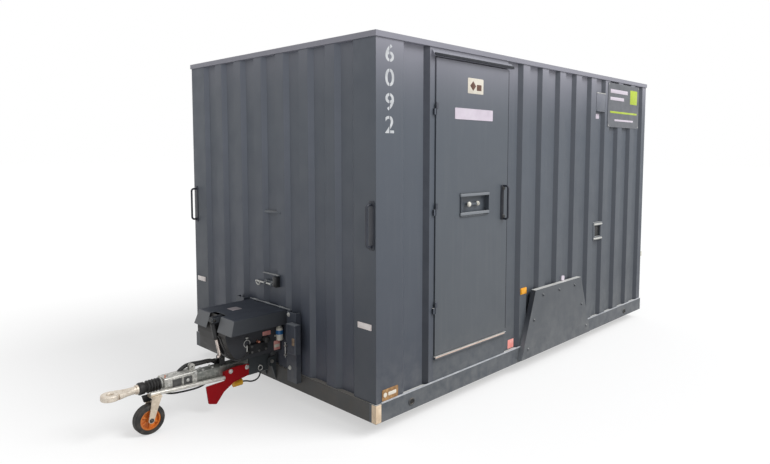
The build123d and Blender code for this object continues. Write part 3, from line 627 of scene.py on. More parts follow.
# one smooth line through a hose's control points
def hoseCurve(name, points, radius):
    curve = bpy.data.curves.new(name, "CURVE")
    curve.dimensions = "3D"
    spline = curve.splines.new("NURBS")
    spline.points.add(len(points) - 1)
    for spot, place in zip(spline.points, points):
        spot.co = (*place, 1)
    spline.order_u = 3
    spline.use_endpoint_u = True
    spline.resolution_u = 10
    curve.bevel_depth = radius
    curve.bevel_resolution = 3
    curve.use_fill_caps = True
    piece = bpy.data.objects.new(name, curve)
    bpy.context.collection.objects.link(piece)
    return piece


def lineLength(piece):
    bare = piece.copy()
    bare.data = piece.data.copy()
    bare.data.bevel_depth = 0
    bpy.context.collection.objects.link(bare)
    bpy.context.view_layer.update()
    line = bpy.data.meshes.new_from_object(bare.evaluated_get(bpy.context.evaluated_depsgraph_get()))
    path = [tuple(spot.co) for spot in line.vertices]
    dropPiece(bare)
    return sum((Vector(b) - Vector(a)).length for a, b in zip(path, path[1:])), path


# door: sticker, plain sign plate, lock lips in a lighter paint for a painted highlight, lever and keyway, handle feet,
# and a dark plate behind the handle that also paints its shadow

doorMarks = {
    "face": -1.145, "bite": 0.0004,
    "sticker": ((-1.079, 2.185), (-0.900, 2.293)), "film": 0.0008, "diamond": [(0, 0.034), (0.0004, 0.033)],
    "sign": ((-1.218, 2.000), (-0.784, 2.078)), "signThick": 0.0025,
    "lips": (-1.156, -0.820), "lipDepths": (0.011, 0.004), "lipHeights": (1.326, 1.460), "lipDrop": 0.025,
    "leverLine": (-1.130, 1.404), "knobAt": -1.048, "roseAt": -0.930, "keyway": (0.003, 0.008),
    "knob": [(0, 0.011), (0.004, 0.017), (0.012, 0.019), (0.018, 0.015), (0.020, 0.009)],
    "rose": [(0, 0.017), (0.004, 0.017), (0.006, 0.015), (0.010, 0.014), (0.013, 0.011)],
    "footLine": -0.633, "footHeights": (1.286, 1.505), "plateAndShadow": (-0.036, 0.004), "plateAndShadowEnds": 0.022,
    "foot": [(0, 0.019), (0.003, 0.019), (0.005, 0.016), (0.010, 0.012)],
}


def buildDoorMarks():
    face, back = doorMarks["face"], doorMarks["face"] + doorMarks["bite"]
    film = face - doorMarks["film"]
    (left, low), (right, high) = doorMarks["sticker"]
    sticker = plate((left, film, low), (right, back, high), 1, 0.008)
    finishPiece(sticker, "door_sticker", "door", creamVinyl)
    x, z = (left + right) / 2, (low + high) / 2
    diamond = turnPiece(doorMarks["diamond"], (x - 0.03, film, z), toRight, 4)
    bar = plate((x + 0.012, film - 0.0004, z - 0.03), (x + 0.066, film + 0.0002, z + 0.012), 1, 0.004, 0.0002)
    finishPiece(joinPieces([diamond, bar]), "door_sticker_shapes", "door", brownVinyl)
    (left, low), (right, high) = doorMarks["sign"]
    sign = plate((left, face - doorMarks["signThick"], low), (right, back, high), 1, 0.006)
    pushFace(sign, toRight, 0.004, -0.0006)  # shallow border round the blank face
    finishPiece(sign, "door_sign_plate", "door", signVinyl)
    left, right = doorMarks["lips"]
    outer, inner = (face - depth for depth in doorMarks["lipDepths"])
    lips = []
    for low in doorMarks["lipHeights"]:
        high = low + doorMarks["lipDrop"]
        lips.append(taperedBlock((left, outer, low), (right, inner, high), toRight, (0.98, 1, 0.7), 0.0015))
    # the lips take the lighter slate copy: painted highlight
    finishPiece(joinPieces(lips), "lock_lips", "door", highlightPaint)
    depth, level = doorMarks["leverLine"]
    middle, (wide, tall) = doorMarks["roseAt"], doorMarks["keyway"]
    knob = turnPiece(doorMarks["knob"], (doorMarks["knobAt"], depth - 0.003, level), toRight)
    rose = turnPiece(doorMarks["rose"], (middle, depth + 0.004, level), toRight)
    finishPiece(joinPieces([knob, rose]), "lock_lever_fittings", "door", whitePlastic)
    keyway = softBlock((middle - wide, depth - 0.010, level - tall),
                       (middle + wide, depth - 0.004, level + tall), 0.001)
    finishPiece(keyway, "lock_keyway", "door", blackPaint)
    line, (low, high) = doorMarks["footLine"], doorMarks["footHeights"]
    feet = [turnPiece(doorMarks["foot"], (line, face, height), toRight, 20) for height in (low, high)]
    finishPiece(joinPieces(feet), "door_handle_feet", "door", blackPaint)
    # dark plate between the handle's feet, which also paints the handle's cast shadow on the door
    (left, right), ends = doorMarks["plateAndShadow"], doorMarks["plateAndShadowEnds"]
    plateAndShadow = plate((line + left, face - 0.003, low - ends), (line + right, back, high + ends), 1, 0.012, 0.001)
    finishPiece(plateAndShadow, "door_handle_plate_and_shadow", "door", shadowRubber)
    print("door marks built")


# white stencil numbers down the front post

stencilNumbers = {
    "digits": "6092", "middle": -1.832, "tops": (2.425, 2.278, 2.131, 1.993), "height": 0.105, "widen": 1.12,
    "stroke": 0.012, "bridge": 0.007, "face": -1.137, "lift": 0.0001, "coat": 0.0005,
}


def buildStencilNumbers():
    middle, face, height = (stencilNumbers[key] for key in ("middle", "face", "height"))
    halves = []
    for digit, top in zip(stencilNumbers["digits"], stencilNumbers["tops"]):
        for side in (-1, 1):
            clearAll()
            bpy.ops.object.text_add()
            text = bpy.context.object
            text.data.body = digit
            text.data.offset = stencilNumbers["stroke"]
            bpy.ops.object.convert(target="MESH")
            piece = bpy.context.object
            spots = [spot.co for spot in piece.data.vertices]
            low = [min(spot[axis] for spot in spots) for axis in (0, 1)]
            high = [max(spot[axis] for spot in spots) for axis in (0, 1)]
            size = height / (high[1] - low[1])
            wide = size * stencilNumbers["widen"]
            piece.rotation_euler = (math.pi / 2, 0, 0)
            piece.scale = (wide, size, size)
            settle()
            piece.location = (middle - (low[0] + high[0]) / 2 * wide, face - stencilNumbers["lift"],
                              top - height - low[1] * size)
            settle()
            bpy.ops.object.mode_set(mode="EDIT")
            bpy.ops.mesh.select_all(action="SELECT")
            bpy.ops.mesh.remove_doubles(threshold=0.00001)
            cut = (middle + side * stencilNumbers["bridge"] / 2, face, top)
            bpy.ops.mesh.bisect(plane_co=cut, plane_no=(1, 0, 0), clear_inner=side > 0, clear_outer=side < 0)
            doneEditing()
            coat = piece.modifiers.new("coat", "SOLIDIFY")
            coat.thickness = stencilNumbers["coat"]
            coat.offset = 0
            bpy.ops.object.modifier_apply(modifier=coat.name)
            halves.append(piece)
    finishPiece(joinPieces(halves), "post_numbers", "cabin", stencilWhite)
    print("stencil numbers built")


# reflectors, patches and blank plates on the walls

reflectors = {
    "amber": {"x": (-0.366, -0.281), "z": (0.631, 0.683), "face": 1.137, "stand": 0.005},
    "white": {"y": (0.972, 1.098), "z": (0.668, 0.706), "face": -1.947, "stand": 0.006},
    "bite": 0.0005, "rim": 0.006, "bulge": 0.004, "edge": 0.0012,
}
wallMarks = {
    "jamb_patch": {"x": (-0.495, -0.414), "z": (0.212, 0.282), "face": -1.111, "thick": 0.0008, "corner": 0.004,
                   "finish": patchVinyl, "slot": "red_paint"},
    "post_badge": {"x": (-1.898, -1.756), "z": (0.213, 0.285), "face": -1.137, "thick": 0.0030, "corner": 0.008,
                   "finish": bronzeBadge, "slot": "bare_steel"},
    "wall_tag": {"x": (0.266, 0.312), "z": (0.652, 0.692), "face": -1.137, "thick": 0.0120, "corner": 0.006,
                 "finish": signVinyl, "slot": "white_plastic"},
    "trough_sticker": {"x": (0.874, 0.955), "z": (2.093, 2.139), "face": -1.111, "thick": 0.0008, "corner": 0.005,
                       "finish": signVinyl, "slot": "white_plastic"},
    "blank_plate": {"x": (0.845, 1.021), "z": (2.159, 2.330), "face": -1.1365, "thick": 0.0019, "corner": 0.006,
                    "finish": greyPaint, "slot": "grey_paint"},
}
badgeShapes = {"disc": [(0, 0.015), (0.0010, 0.015), (0.0014, 0.013)], "discAt": (-1.870, 0.249), "sunk": 0.0020,
               "bar": (-1.844, -1.774, 0.238, 0.261), "barThick": 0.0012}


def lensPiece(low, high, towards):
    return facedBlock(low, high, towards, reflectors["rim"], reflectors["bulge"], reflectors["edge"])


def buildWallMarks():
    amber, white, bite = reflectors["amber"], reflectors["white"], reflectors["bite"]
    (left, right), (low, high), face = amber["x"], amber["z"], amber["face"]
    both = []
    for side in (-1, 1):
        near, far = sideSpan(side, face - bite, face + amber["stand"])
        both.append(lensPiece((left, near, low), (right, far, high), (0, side, 0)))
    finishPiece(joinPieces(both), "amber_reflectors", "cabin", amberLens)
    (low, high), face = white["z"], white["face"]
    both = []
    for side in (-1, 1):
        near, far = sideSpan(side, *white["y"])
        both.append(lensPiece((face - white["stand"], near, low), (face + bite, far, high), toFront))
    finishPiece(joinPieces(both), "front_reflectors", "cabin", clearLens)
    for name, mark in wallMarks.items():
        (left, right), (low, high), face, thick = mark["x"], mark["z"], mark["face"], mark["thick"]
        edge = min(0.0012, thick / 3)
        piece = plate((left, face - thick, low), (right, face + bite, high), 1, mark["corner"], edge)
        if thick > 0.002:
            pushFace(piece, toRight, 0.005, -0.0008)  # raised rim
        finishPiece(piece, name, "cabin", mark["finish"])
    front = wallMarks["post_badge"]["face"] - badgeShapes["sunk"]
    x, z = badgeShapes["discAt"]
    disc = turnPiece(badgeShapes["disc"], (x, front, z), toRight, 20)
    left, right, low, high = badgeShapes["bar"]
    bar = plate((left, front - badgeShapes["barThick"], low), (right, front, high), 1, 0.006, 0.0003)
    finishPiece(joinPieces([disc, bar]), "post_badge_shapes", "cabin", creamVinyl)
    blank = wallMarks["blank_plate"]
    (left, right), (low, high), face = blank["x"], blank["z"], blank["face"]
    # pale steel strip along the plate's top edge: painted highlight
    edge = softBlock((left, face - 0.004, high - 0.004), (right, face, high + 0.004), 0.001)
    finishPiece(edge, "blank_plate_highlight", "cabin", paleSteel)
    inset = 0.013  # rivets stand in from the corners
    spots = [((x, face - 0.0018, z), toRight) for x in (left + inset, right - inset)
             for z in (low + inset, high - inset)]
    setFasteners(rivetMaster(0.004), "blank_plate_rivets", spots, "cabin", greyPaint)
    print("wall marks built")


# board with plain bars, riveted at its corners: left, right, low, high of each bar

boardBars = {
    "face": -1.141, "film": 0.0005, "bite": 0.0003, "corner": 0.004, "edge": 0.0002,
    "rivets": [(x, z) for x in (1.092, 1.753) for z in (2.037, 2.429)], "rivetSize": 0.006,
    "lime": [(1.560, 1.724, 2.262, 2.402), (1.122, 1.724, 2.158, 2.176)],
    "white": [(1.122, 1.500, 2.350, 2.386), (1.122, 1.420, 2.282, 2.312), (1.220, 1.640, 2.082, 2.100)],
}


def buildBoardBars():
    face = boardBars["face"]
    front, back = face - boardBars["film"], face + boardBars["bite"]
    for key, material in (("lime", limeVinyl), ("white", signVinyl)):
        bars = [plate((left, front, low), (right, back, high), 1, boardBars["corner"], boardBars["edge"])
                for left, right, low, high in boardBars[key]]
        finishPiece(joinPieces(bars), "board_bars_" + key, "cabin", material)
    spots = [((x, face, z), toRight) for x, z in boardBars["rivets"]]
    setFasteners(rivetMaster(boardBars["rivetSize"]), "board_rivets", spots, "cabin", paleSteel)
    print("board bars built")


# recessed inlet box that bridges a wall trough

inletBox = {
    "x": (0.841, 1.025), "z": (0.945, 1.115), "front": -1.1405, "back": -1.112, "rim": 0.034, "depth": 0.023,
    "openingShadeIn": 0.030, "openingShadeDepths": (0.018, 0.004), "lipIn": 0.012, "lipDepths": (0.010, 0.001), "lipTall": 0.022,
    "lipFromTop": 0.030, "lipFromFoot": 0.004, "lipTaper": (0.94, 1, 0.45),
}


def buildInletBox():
    (left, right), (low, high) = inletBox["x"], inletBox["z"]
    front, back = inletBox["front"], inletBox["back"]
    box = facedBlock((left, front, low), (right, back, high), toRight, inletBox["rim"], -inletBox["depth"], 0.002)
    finishPiece(box, "inlet_box", "cabin", greyPaint)
    # black plate inside the box: painted shade of the inlet's dark opening
    inside, (ahead, behind) = inletBox["openingShadeIn"], inletBox["openingShadeDepths"]
    openingShade = facedBlock((left + inside, front + ahead, low + inside), (right - inside, back - behind, high - inside),
                         toRight, 0.012, 0.003, 0.002)
    finishPiece(openingShade, "inlet_opening_shade", "cabin", blackPaint)
    inside, (ahead, behind) = inletBox["lipIn"], inletBox["lipDepths"]
    lips = []
    for foot in (high - inletBox["lipFromTop"], low + inletBox["lipFromFoot"]):
        lips.append(taperedBlock((left + inside, front - ahead, foot),
                                 (right - inside, front + behind, foot + inletBox["lipTall"]),
                                 toRight, inletBox["lipTaper"], 0.002))
    finishPiece(joinPieces(lips), "inlet_lips", "cabin", paleSteel)
    print("inlet box built")


# bolts of the wheel covers, tie-down eyes with dark discs that paint the shade of their holes, corner shoe, rail ledges
# with pale strips of dust and painted highlight, dark strips that paint shadow under the drip rail and in the jamb, and
# the sill strip round the door

coverBolts = {"spots": [(-0.087, 0.592), (0.174, 0.593), (0.439, 0.592), (0.575, 0.395), (0.672, 0.175),
                        (-0.220, 0.404), (-0.304, 0.180)],
              "faces": (-1.181, 1.1721), "size": 0.0085}  # sunk heads on the far side
railEyes = {"spots": [(-1.637, 0.138), (1.562, 0.134)], "face": 1.145, "lift": 0.001, "ring": 0.019, "bar": 0.005,
            "oval": 1.25, "holeShadeThick": 0.0006}
cornerShoe = {"low": (-1.9565, -1.1465, 0.087), "high": (-1.911, -1.106, 0.203)}
railLedgeHighlights = {"spans": [(-1.905, -0.352), (0.702, 1.940)], "y": (1.1370, 1.1455), "z": (0.2035, 0.2115)}
doorTrim = {"dripShadow": ((-1.446, -1.1715, 2.4015), (-0.549, -1.1650, 2.4210)), "dripShadowLean": (0, 0.004, 0),
            "strip": ((-1.414, -1.1565, 0.3720), (-0.604, -1.1545, 0.3815)),
            "jambShadowStrip": ((-0.5460, -1.1140, 0.392), (-0.5330, -1.1105, 2.394))}


def buildRailFittings():
    spots = [((x, y, z), (0, y, 0)) for x, z in coverBolts["spots"] for y in coverBolts["faces"]]
    setFasteners(boltMaster(coverBolts["size"]), "cover_bolts", spots, "cabin", coverPaint)
    face, ring, bar = railEyes["face"], railEyes["ring"], railEyes["bar"]
    # dark discs inside the eyes: painted shade of the holes behind them
    holeShade = [(0, ring - 0.001), (railEyes["holeShadeThick"], ring - 0.002)]
    eyes, holeShades = [], []
    for x, z in railEyes["spots"]:
        for side in (-1, 1):
            way = (0, side, 0)
            eyes.append(ringPiece((x, side * (face + railEyes["lift"]), z), way, ring, bar, railEyes["oval"]))
            holeShades.append(turnPiece(holeShade, (x, side * face, z), way, 20))
    finishPiece(joinPieces(eyes), "rail_eyes", "cabin", frameSteel)
    finishPiece(joinPieces(holeShades), "rail_eye_hole_shades", "cabin", blackRubber)
    shoe = facedBlock(cornerShoe["low"], cornerShoe["high"], toFront, 0.006, -0.001, 0.002)
    finishPiece(shoe, "corner_shoe", "cabin", cornerTape)
    # pale strips on the rail ledges: dust and a painted highlight
    low, high = railLedgeHighlights["z"]
    edges = []
    for left, right in railLedgeHighlights["spans"]:
        for side in (-1, 1):
            near, far = sideSpan(side, *railLedgeHighlights["y"])
            edges.append(facedBlock((left, near, low), (right, far, high), upward, 0.0015, 0.0008, 0.0008))
    finishPiece(joinPieces(edges), "rail_ledge_highlights", "cabin", ledgeDustAndHighlight)
    # dark strip under the drip rail: painted shadow of the rail on the door head
    dripShadow = leaningBlock(*doorTrim["dripShadow"], upward, doorTrim["dripShadowLean"], 0.001)  # leans with the drip rail
    finishPiece(dripShadow, "drip_shadow_strip", "cabin", shadowRubber)
    strip = facedBlock(*doorTrim["strip"], toRight, 0.001, 0.0006, 0.0004)
    finishPiece(strip, "sill_strip", "cabin", sillSteel)
    # dark strip in the jamb recess beside the door: painted shadow
    jambShadow = facedBlock(*doorTrim["jambShadowStrip"], toRight, 0.003, 0.001, 0.0008)
    finishPiece(jambShadow, "jamb_shadow_strip", "cabin", shadowRubber)
    print("rail fittings built")


# front wall: small lip, barrel bolt, latch block with its shelf, and the plates under the grab handles

frontFittings = {
    "wall": -1.947, "bite": 0.0005, "trough": -1.921,
    "lipSpan": (-0.134, 0.063), "lipHeight": 1.336, "lipHalf": 0.006, "lipSlope": (0, 0, -0.006),
    "boltLine": (-1.962, 0.800), "boltSpan": (-0.078, 0.178), "rodRadius": 0.007, "ringFromEnd": 0.036,
    "keepers": (-0.040, 0.046), "keeperSize": (0.026, 0.010, 0.013), "base": (-0.072, 0.080, 0.020),
    "blockSpan": (-0.119, -0.074), "blockHeights": (0.790, 0.866), "blockDepth": 0.034,
    "shelfSpan": (-0.125, 0.075), "shelfHeights": (0.872, 0.877), "shelfDepth": 0.022,
    "handlePlates": (1.076, 1.124, 1.170, 1.476), "plateThick": 0.004, "screwFromEnd": 0.012, "screwSize": 0.007,
}


def buildFrontFittings():
    wall, back = frontFittings["wall"], frontFittings["wall"] + frontFittings["bite"]
    low, high = frontFittings["lipSpan"]
    height, half = frontFittings["lipHeight"], frontFittings["lipHalf"]
    lip = leaningBlock((wall - 0.004, low, height - half), (frontFittings["trough"] + 0.001, high, height + half),
                       toFront, frontFittings["lipSlope"], 0.002)  # the lip slopes to shed rain
    finishPiece(lip, "front_lip", "cabin", greyPaint)
    line, level = frontFittings["boltLine"]
    low, high = frontFittings["boltSpan"]
    radius, length = frontFittings["rodRadius"], high - low
    rod = turnPiece([(0, radius), (length - 0.004, radius), (length, 0.005)], (line, low, level), (0, 1, 0), 16)
    ring = ringPiece((line - 0.004, high - frontFittings["ringFromEnd"], level - 0.010), (1, 0, 0.2), 0.017, 0.004, 1.3)
    deep, wide, tall = frontFittings["keeperSize"]
    keepers = [facedBlock((wall - deep, along - wide, level - tall), (back, along + wide, level + tall),
                          toFront, 0.004, 0.002, 0.002) for along in frontFittings["keepers"]]
    near, far, tall = frontFittings["base"]
    base = plate((wall - 0.003, near, level - tall), (back, far, level + tall), 0, 0.006)
    finishPiece(joinPieces([rod, ring]), "barrel_bolt", "cabin", paleSteel)
    finishPiece(joinPieces(keepers + [base]), "barrel_bolt_keepers", "cabin", greyPaint)
    (near, far), (low, high) = frontFittings["blockSpan"], frontFittings["blockHeights"]
    block = facedBlock((wall - frontFittings["blockDepth"], near, low), (back, far, high), toFront, 0.008, 0.005, 0.003)
    finishPiece(block, "latch_block", "cabin", blackPaint)
    (near, far), (low, high) = frontFittings["shelfSpan"], frontFittings["shelfHeights"]
    shelf = facedBlock((wall - frontFittings["shelfDepth"], near, low), (back, far, high), upward, 0.003, 0.001, 0.001)
    finishPiece(shelf, "latch_rain_shelf", "cabin", greyPaint)
    near, far, low, high = frontFittings["handlePlates"]
    front, end = wall - frontFittings["plateThick"], frontFittings["screwFromEnd"]
    plates, screws = [], []
    for side in (-1, 1):
        start, stop = sideSpan(side, near, far)
        plates.append(plate((front, start, low), (back, stop, high), 0, 0.012, 0.001))
        screws += [((front, side * (near + far) / 2, height), toFront) for height in (low + end, high - end)]
    finishPiece(joinPieces(plates), "grab_handle_plates", "cabin", handlePaint)
    screw = rivetMaster(frontFittings["screwSize"])
    setFasteners(screw, "grab_handle_screws", screws, "cabin", handlePaint)
    print("front fittings built")


# hood: hinge rod, mast bolts, patches on the lid and the tub

hoodFittings = {
    "hingeLine": (-1.958, 0.650), "hingeSpan": (-0.250, 0.262), "knuckles": (-0.180, 0.000, 0.160),
    "knuckle": [(0, 0.005), (0.003, 0.007), (0.057, 0.007), (0.060, 0.005)],
    "mastFace": -1.995, "mastBolts": [(-0.290, 0.630), (-0.300, 0.250), (0.351, 0.400), (0.351, 0.250)],
    "lidPatch": ((-2.236, 0.042), (-2.160, 0.126), 0.642), "film": 0.0007, "bite": 0.0004,
    "sidePatches": [(-2.106, -2.040, 0.464, 0.495), (-2.014, -1.962, 0.340, 0.408)], "stripHeights": (0.018, 0.042),
}
tubSide = -0.130


def buildHoodFittings():
    line, level = hoodFittings["hingeLine"]
    low, high = hoodFittings["hingeSpan"]
    length, film, bite = high - low, hoodFittings["film"], hoodFittings["bite"]
    profile = [(0, 0.003), (0.003, 0.004), (length - 0.003, 0.004), (length, 0.003)]
    rod = [turnPiece(profile, (line, low, level), (0, 1, 0), 14)]
    for along in hoodFittings["knuckles"]:
        rod.append(turnPiece(hoodFittings["knuckle"], (line, along, level), (0, 1, 0), 16))
    # the hinge rod takes the lighter slate copy: painted highlight
    finishPiece(joinPieces(rod), "hood_hinge_rod", "cabin", highlightPaint)
    spots = [((hoodFittings["mastFace"], y, z), toFront) for y, z in hoodFittings["mastBolts"]]
    setFasteners(boltMaster(0.010), "mast_bolts", spots, "cabin", paleSteel)
    (left, near), (right, far), top = hoodFittings["lidPatch"]
    patch = plate((left, near, top - bite), (right, far, top + film), 2, 0.006, 0.0003)
    finishPiece(patch, "lid_patch", "cabin", dullVinyl)
    patches = [plate((left, tubSide - film, low), (right, tubSide + bite, high), 1, 0.004, 0.0003)
               for left, right, low, high in hoodFittings["sidePatches"]]
    finishPiece(joinPieces(patches), "tub_patches", "cabin", patchVinyl)
    left, right, low, high = hoodFittings["sidePatches"][1]
    foot, head = (low + height for height in hoodFittings["stripHeights"])
    strip = plate((left + 0.004, tubSide - 0.0011, foot), (right - 0.004, tubSide - 0.0004, head), 1, 0.003, 0.0002)
    finishPiece(strip, "tub_patch_strip", "cabin", creamVinyl)
    print("hood fittings built")


# hand pump: ribbed knob, hose fitting, bolts and the lynch pin beside it

pumpFittings = {
    "start": 0.002, "knob": (-2.094, 0.4445), "knobFoot": [(0, 0.012), (0.004, 0.012), (0.005, 0.021)],
    "knobEnd": [(0.043, 0.022), (0.046, 0.017), (0.047, 0.008)], "folds": 6, "foldPitch": 0.006,
    "fold": [(0.007, 0.0235), (0.010, 0.0235), (0.0115, 0.0205)],
    "fitting": (-2.152, 0.440), "nut": [(0, 0.010), (0.012, 0.010), (0.013, 0.009)],
    "nozzle": [(0, 0.006), (0.020, 0.006), (0.021, 0.009), (0.030, 0.009), (0.032, 0.006)],
    "boltDepth": 0.040, "bolts": [(-2.216, 0.424), (-2.216, 0.384), (-2.160, 0.384), (-2.106, 0.384)],
    "ring": (-2.235, 0.445), "ringDepth": 0.006, "pinDrop": 0.062, "stapleHeights": (0.030, 0.042),
    "pin": [(0, 0.004), (0.004, 0.005), (0.040, 0.005), (0.046, 0.003)],
}


# repeats the steps of a fold along a turned profile
def foldSteps(fold, folds, pitch):
    return [(along + number * pitch, radius) for number in range(folds) for along, radius in fold]


def buildPumpFittings():
    start = tubSide - pumpFittings["start"]
    x, z = pumpFittings["knob"]
    ribs = foldSteps(pumpFittings["fold"], pumpFittings["folds"], pumpFittings["foldPitch"])
    knob = turnPiece(pumpFittings["knobFoot"] + ribs + pumpFittings["knobEnd"], (x, start, z), toRight, 28)
    finishPiece(knob, "pump_knob", "cabin", blackRubber)
    x, z = pumpFittings["fitting"]
    nut = turnPiece(pumpFittings["nut"], (x, start, z), toRight, 6)
    nozzle = turnPiece(pumpFittings["nozzle"], (x, start, z), toRight, 16)
    finishPiece(joinPieces([nut, nozzle]), "pump_fitting", "cabin", copperFitting)
    spots = [((x, tubSide - pumpFittings["boltDepth"], z), toRight) for x, z in pumpFittings["bolts"]]
    setFasteners(boltMaster(0.006), "pump_bolts", spots, "cabin", oldZinc)
    x, z = pumpFittings["ring"]
    depth, (low, high) = tubSide - pumpFittings["ringDepth"], pumpFittings["stapleHeights"]
    ring = ringPiece((x, depth, z - 0.004), (0.15, 1, 0.1), 0.026, 0.0028, 0.86)
    pin = turnPiece(pumpFittings["pin"], (x, depth, z - pumpFittings["pinDrop"]), upward, 12)
    staple = softBlock((x - 0.009, tubSide - 0.012, z + low), (x + 0.009, tubSide + 0.0005, z + high), 0.002)
    finishPiece(joinPieces([ring, pin, staple]), "lynch_pin", "cabin", paleSteel)
    print("pump fittings built")


# bottle's band, cap and bracket, stay rod, beam ring, and the latch box's catch and lid

bottleFittings = {
    "place": (-1.981, -0.155), "band": (0.460, 0.490), "bandRadii": (0.0250, 0.0264), "capHeight": 0.527,
    "capFoot": [(0, 0.0125), (0.001, 0.0140)], "folds": 4, "foldPitch": 0.005,
    "fold": [(0.003, 0.0140), (0.0045, 0.0132), (0.006, 0.0140)], "capEnd": [(0.024, 0.0130), (0.027, 0.010)],
    "bracketHalf": 0.028, "bracketHeights": (0.440, 0.452), "bracketDepth": 0.006,
}
stayRod = {"place": (-1.968, -0.206), "foot": 0.296, "wall": -1.9465, "clipFeet": (0.012, 0.080),
           "clipSize": (0.009, 0.008, 0.009),
           "rod": [(0, 0.003), (0.002, 0.0045), (0.104, 0.0045), (0.105, 0.008), (0.110, 0.007)]}
beamRing = {"place": (-2.085, -0.062, 0.214), "lean": (0.3, 1, 0.2), "beamFace": -0.0495, "shankRise": 0.017,
            "shank": [(0, 0.005), (0.012, 0.005), (0.014, 0.003)]}
latchBox = {"catch": ((-2.044, -0.418, 0.440), (-2.0395, -0.392, 0.492)), "hook": (-2.044, -0.405, 0.456),
            "lid": ((-2.0445, -0.4270, 0.572), (-1.995, -0.3250, 0.582))}


def buildTubFittings():
    x, y = bottleFittings["place"]
    low, high = bottleFittings["band"]
    (small, large), tall = bottleFittings["bandRadii"], high - low
    band = turnPiece([(0, small), (0.001, large), (tall - 0.001, large), (tall, small)], (x, y, low), upward, 32)
    finishPiece(band, "bottle_band", "cabin", bluePlastic)
    ribs = foldSteps(bottleFittings["fold"], bottleFittings["folds"], bottleFittings["foldPitch"])
    profile = bottleFittings["capFoot"] + ribs + bottleFittings["capEnd"]
    cap = turnPiece(profile, (x, y, bottleFittings["capHeight"]), upward, 24)
    finishPiece(cap, "bottle_cap", "cabin", whitePlastic)
    half, (low, high) = bottleFittings["bracketHalf"], bottleFittings["bracketHeights"]
    bracket = facedBlock((x - half, tubSide - bottleFittings["bracketDepth"], low), (x + half, tubSide + 0.0005, high),
                         toRight, 0.003, 0.001, 0.001)
    finishPiece(bracket, "bottle_bracket", "cabin", paleSteel)
    (x, y), low = stayRod["place"], stayRod["foot"]
    deep, half, tall = stayRod["clipSize"]
    stay = [turnPiece(stayRod["rod"], (x, y, low), upward, 14)]
    for foot in stayRod["clipFeet"]:  # two clips hold the rod to the wall
        stay.append(softBlock((x - deep, y - half, low + foot), (stayRod["wall"], y + half, low + foot + tall), 0.0015))
    finishPiece(joinPieces(stay), "stay_rod", "cabin", paleSteel)
    x, y, z = beamRing["place"]
    eye = ringPiece((x, y, z), beamRing["lean"], 0.019, 0.0035, 0.8)
    shank = turnPiece(beamRing["shank"], (x, beamRing["beamFace"], z + beamRing["shankRise"]), toRight, 12)
    finishPiece(joinPieces([eye, shank]), "beam_ring", "drawbar", paleSteel)
    catch = plate(*latchBox["catch"], 0, 0.004, 0.001)
    hook = ringPiece(latchBox["hook"], (1, 0, 0), 0.011, 0.0022, 0.8)
    finishPiece(joinPieces([catch, hook]), "latch_box_catch", "cabin", rustySteel)
    lid = facedBlock(*latchBox["lid"], upward, 0.006, 0.002, 0.0015)
    finishPiece(lid, "latch_box_lid", "cabin", shadedMastPaint)
    print("tub fittings built")


# ram: gland ring and the ends of its clevis pins

ramFittings = {
    "top": (-2.415, 0.0, 0.618), "foot": (-2.362, 0.0, 0.345), "glandAlong": 0.127, "pinStart": 0.027,
    "gland": [(0, 0.0205), (0.001, 0.0218), (0.009, 0.0218), (0.010, 0.0205)],
    "pin": [(0, 0.011), (0.004, 0.011), (0.006, 0.009), (0.007, 0.005)],
}


def buildRamFittings():
    top, foot = Vector(ramFittings["top"]), Vector(ramFittings["foot"])
    down = (foot - top).normalized()
    gland = turnPiece(ramFittings["gland"], top + down * ramFittings["glandAlong"], down, 28)
    finishPiece(gland, "ram_gland_ring", "ram_barrel", blackRubber)
    for place, name, body in ((top, "ram_top_pin", "cabin"), (foot, "ram_foot_pin", "drawbar")):
        ends = []
        for side in (-1, 1):
            start = place + Vector((0, side * ramFittings["pinStart"], 0))
            ends.append(turnPiece(ramFittings["pin"], start, (0, side, 0), 20))
        finishPiece(joinPieces(ends), name, body, darkSteel)
    print("ram fittings built")


# hoses, each one smooth line

hoses = {
    "lever_hose": {"body": "drawbar", "stiffness": "stiff", "radius": 0.013, "points": [
        (-2.652, 0.026, 0.312), (-2.618, 0.030, 0.336), (-2.566, 0.034, 0.342), (-2.500, 0.034, 0.334),
        (-2.440, 0.032, 0.334), (-2.400, 0.034, 0.322), (-2.376, 0.034, 0.300)]},
    "brake_cable": {"body": "drawbar", "stiffness": "stiff", "radius": 0.006, "points": [
        (-2.775, -0.030, 0.222), (-2.745, -0.030, 0.203), (-2.660, -0.030, 0.192), (-2.560, -0.030, 0.187),
        (-2.500, -0.030, 0.196), (-2.462, -0.030, 0.218)]},
    "lamp_lead": {"body": "drawbar", "stiffness": "medium", "radius": 0.0055, "points": [
        (-2.218, -0.020, 0.137), (-2.180, -0.022, 0.134), (-2.140, -0.026, 0.116), (-2.092, -0.030, 0.122),
        (-2.070, -0.032, 0.150), (-2.066, -0.032, 0.178)]},
    "ram_hose": {"body": "cabin", "stiffness": "stiff", "radius": 0.0055, "points": [
        (-2.392, -0.018, 0.506), (-2.396, -0.046, 0.510), (-2.404, -0.088, 0.494), (-2.404, -0.122, 0.452),
        (-2.392, -0.132, 0.400), (-2.352, -0.146, 0.352), (-2.290, -0.158, 0.346), (-2.244, -0.154, 0.372),
        (-2.224, -0.150, 0.390)]},
}


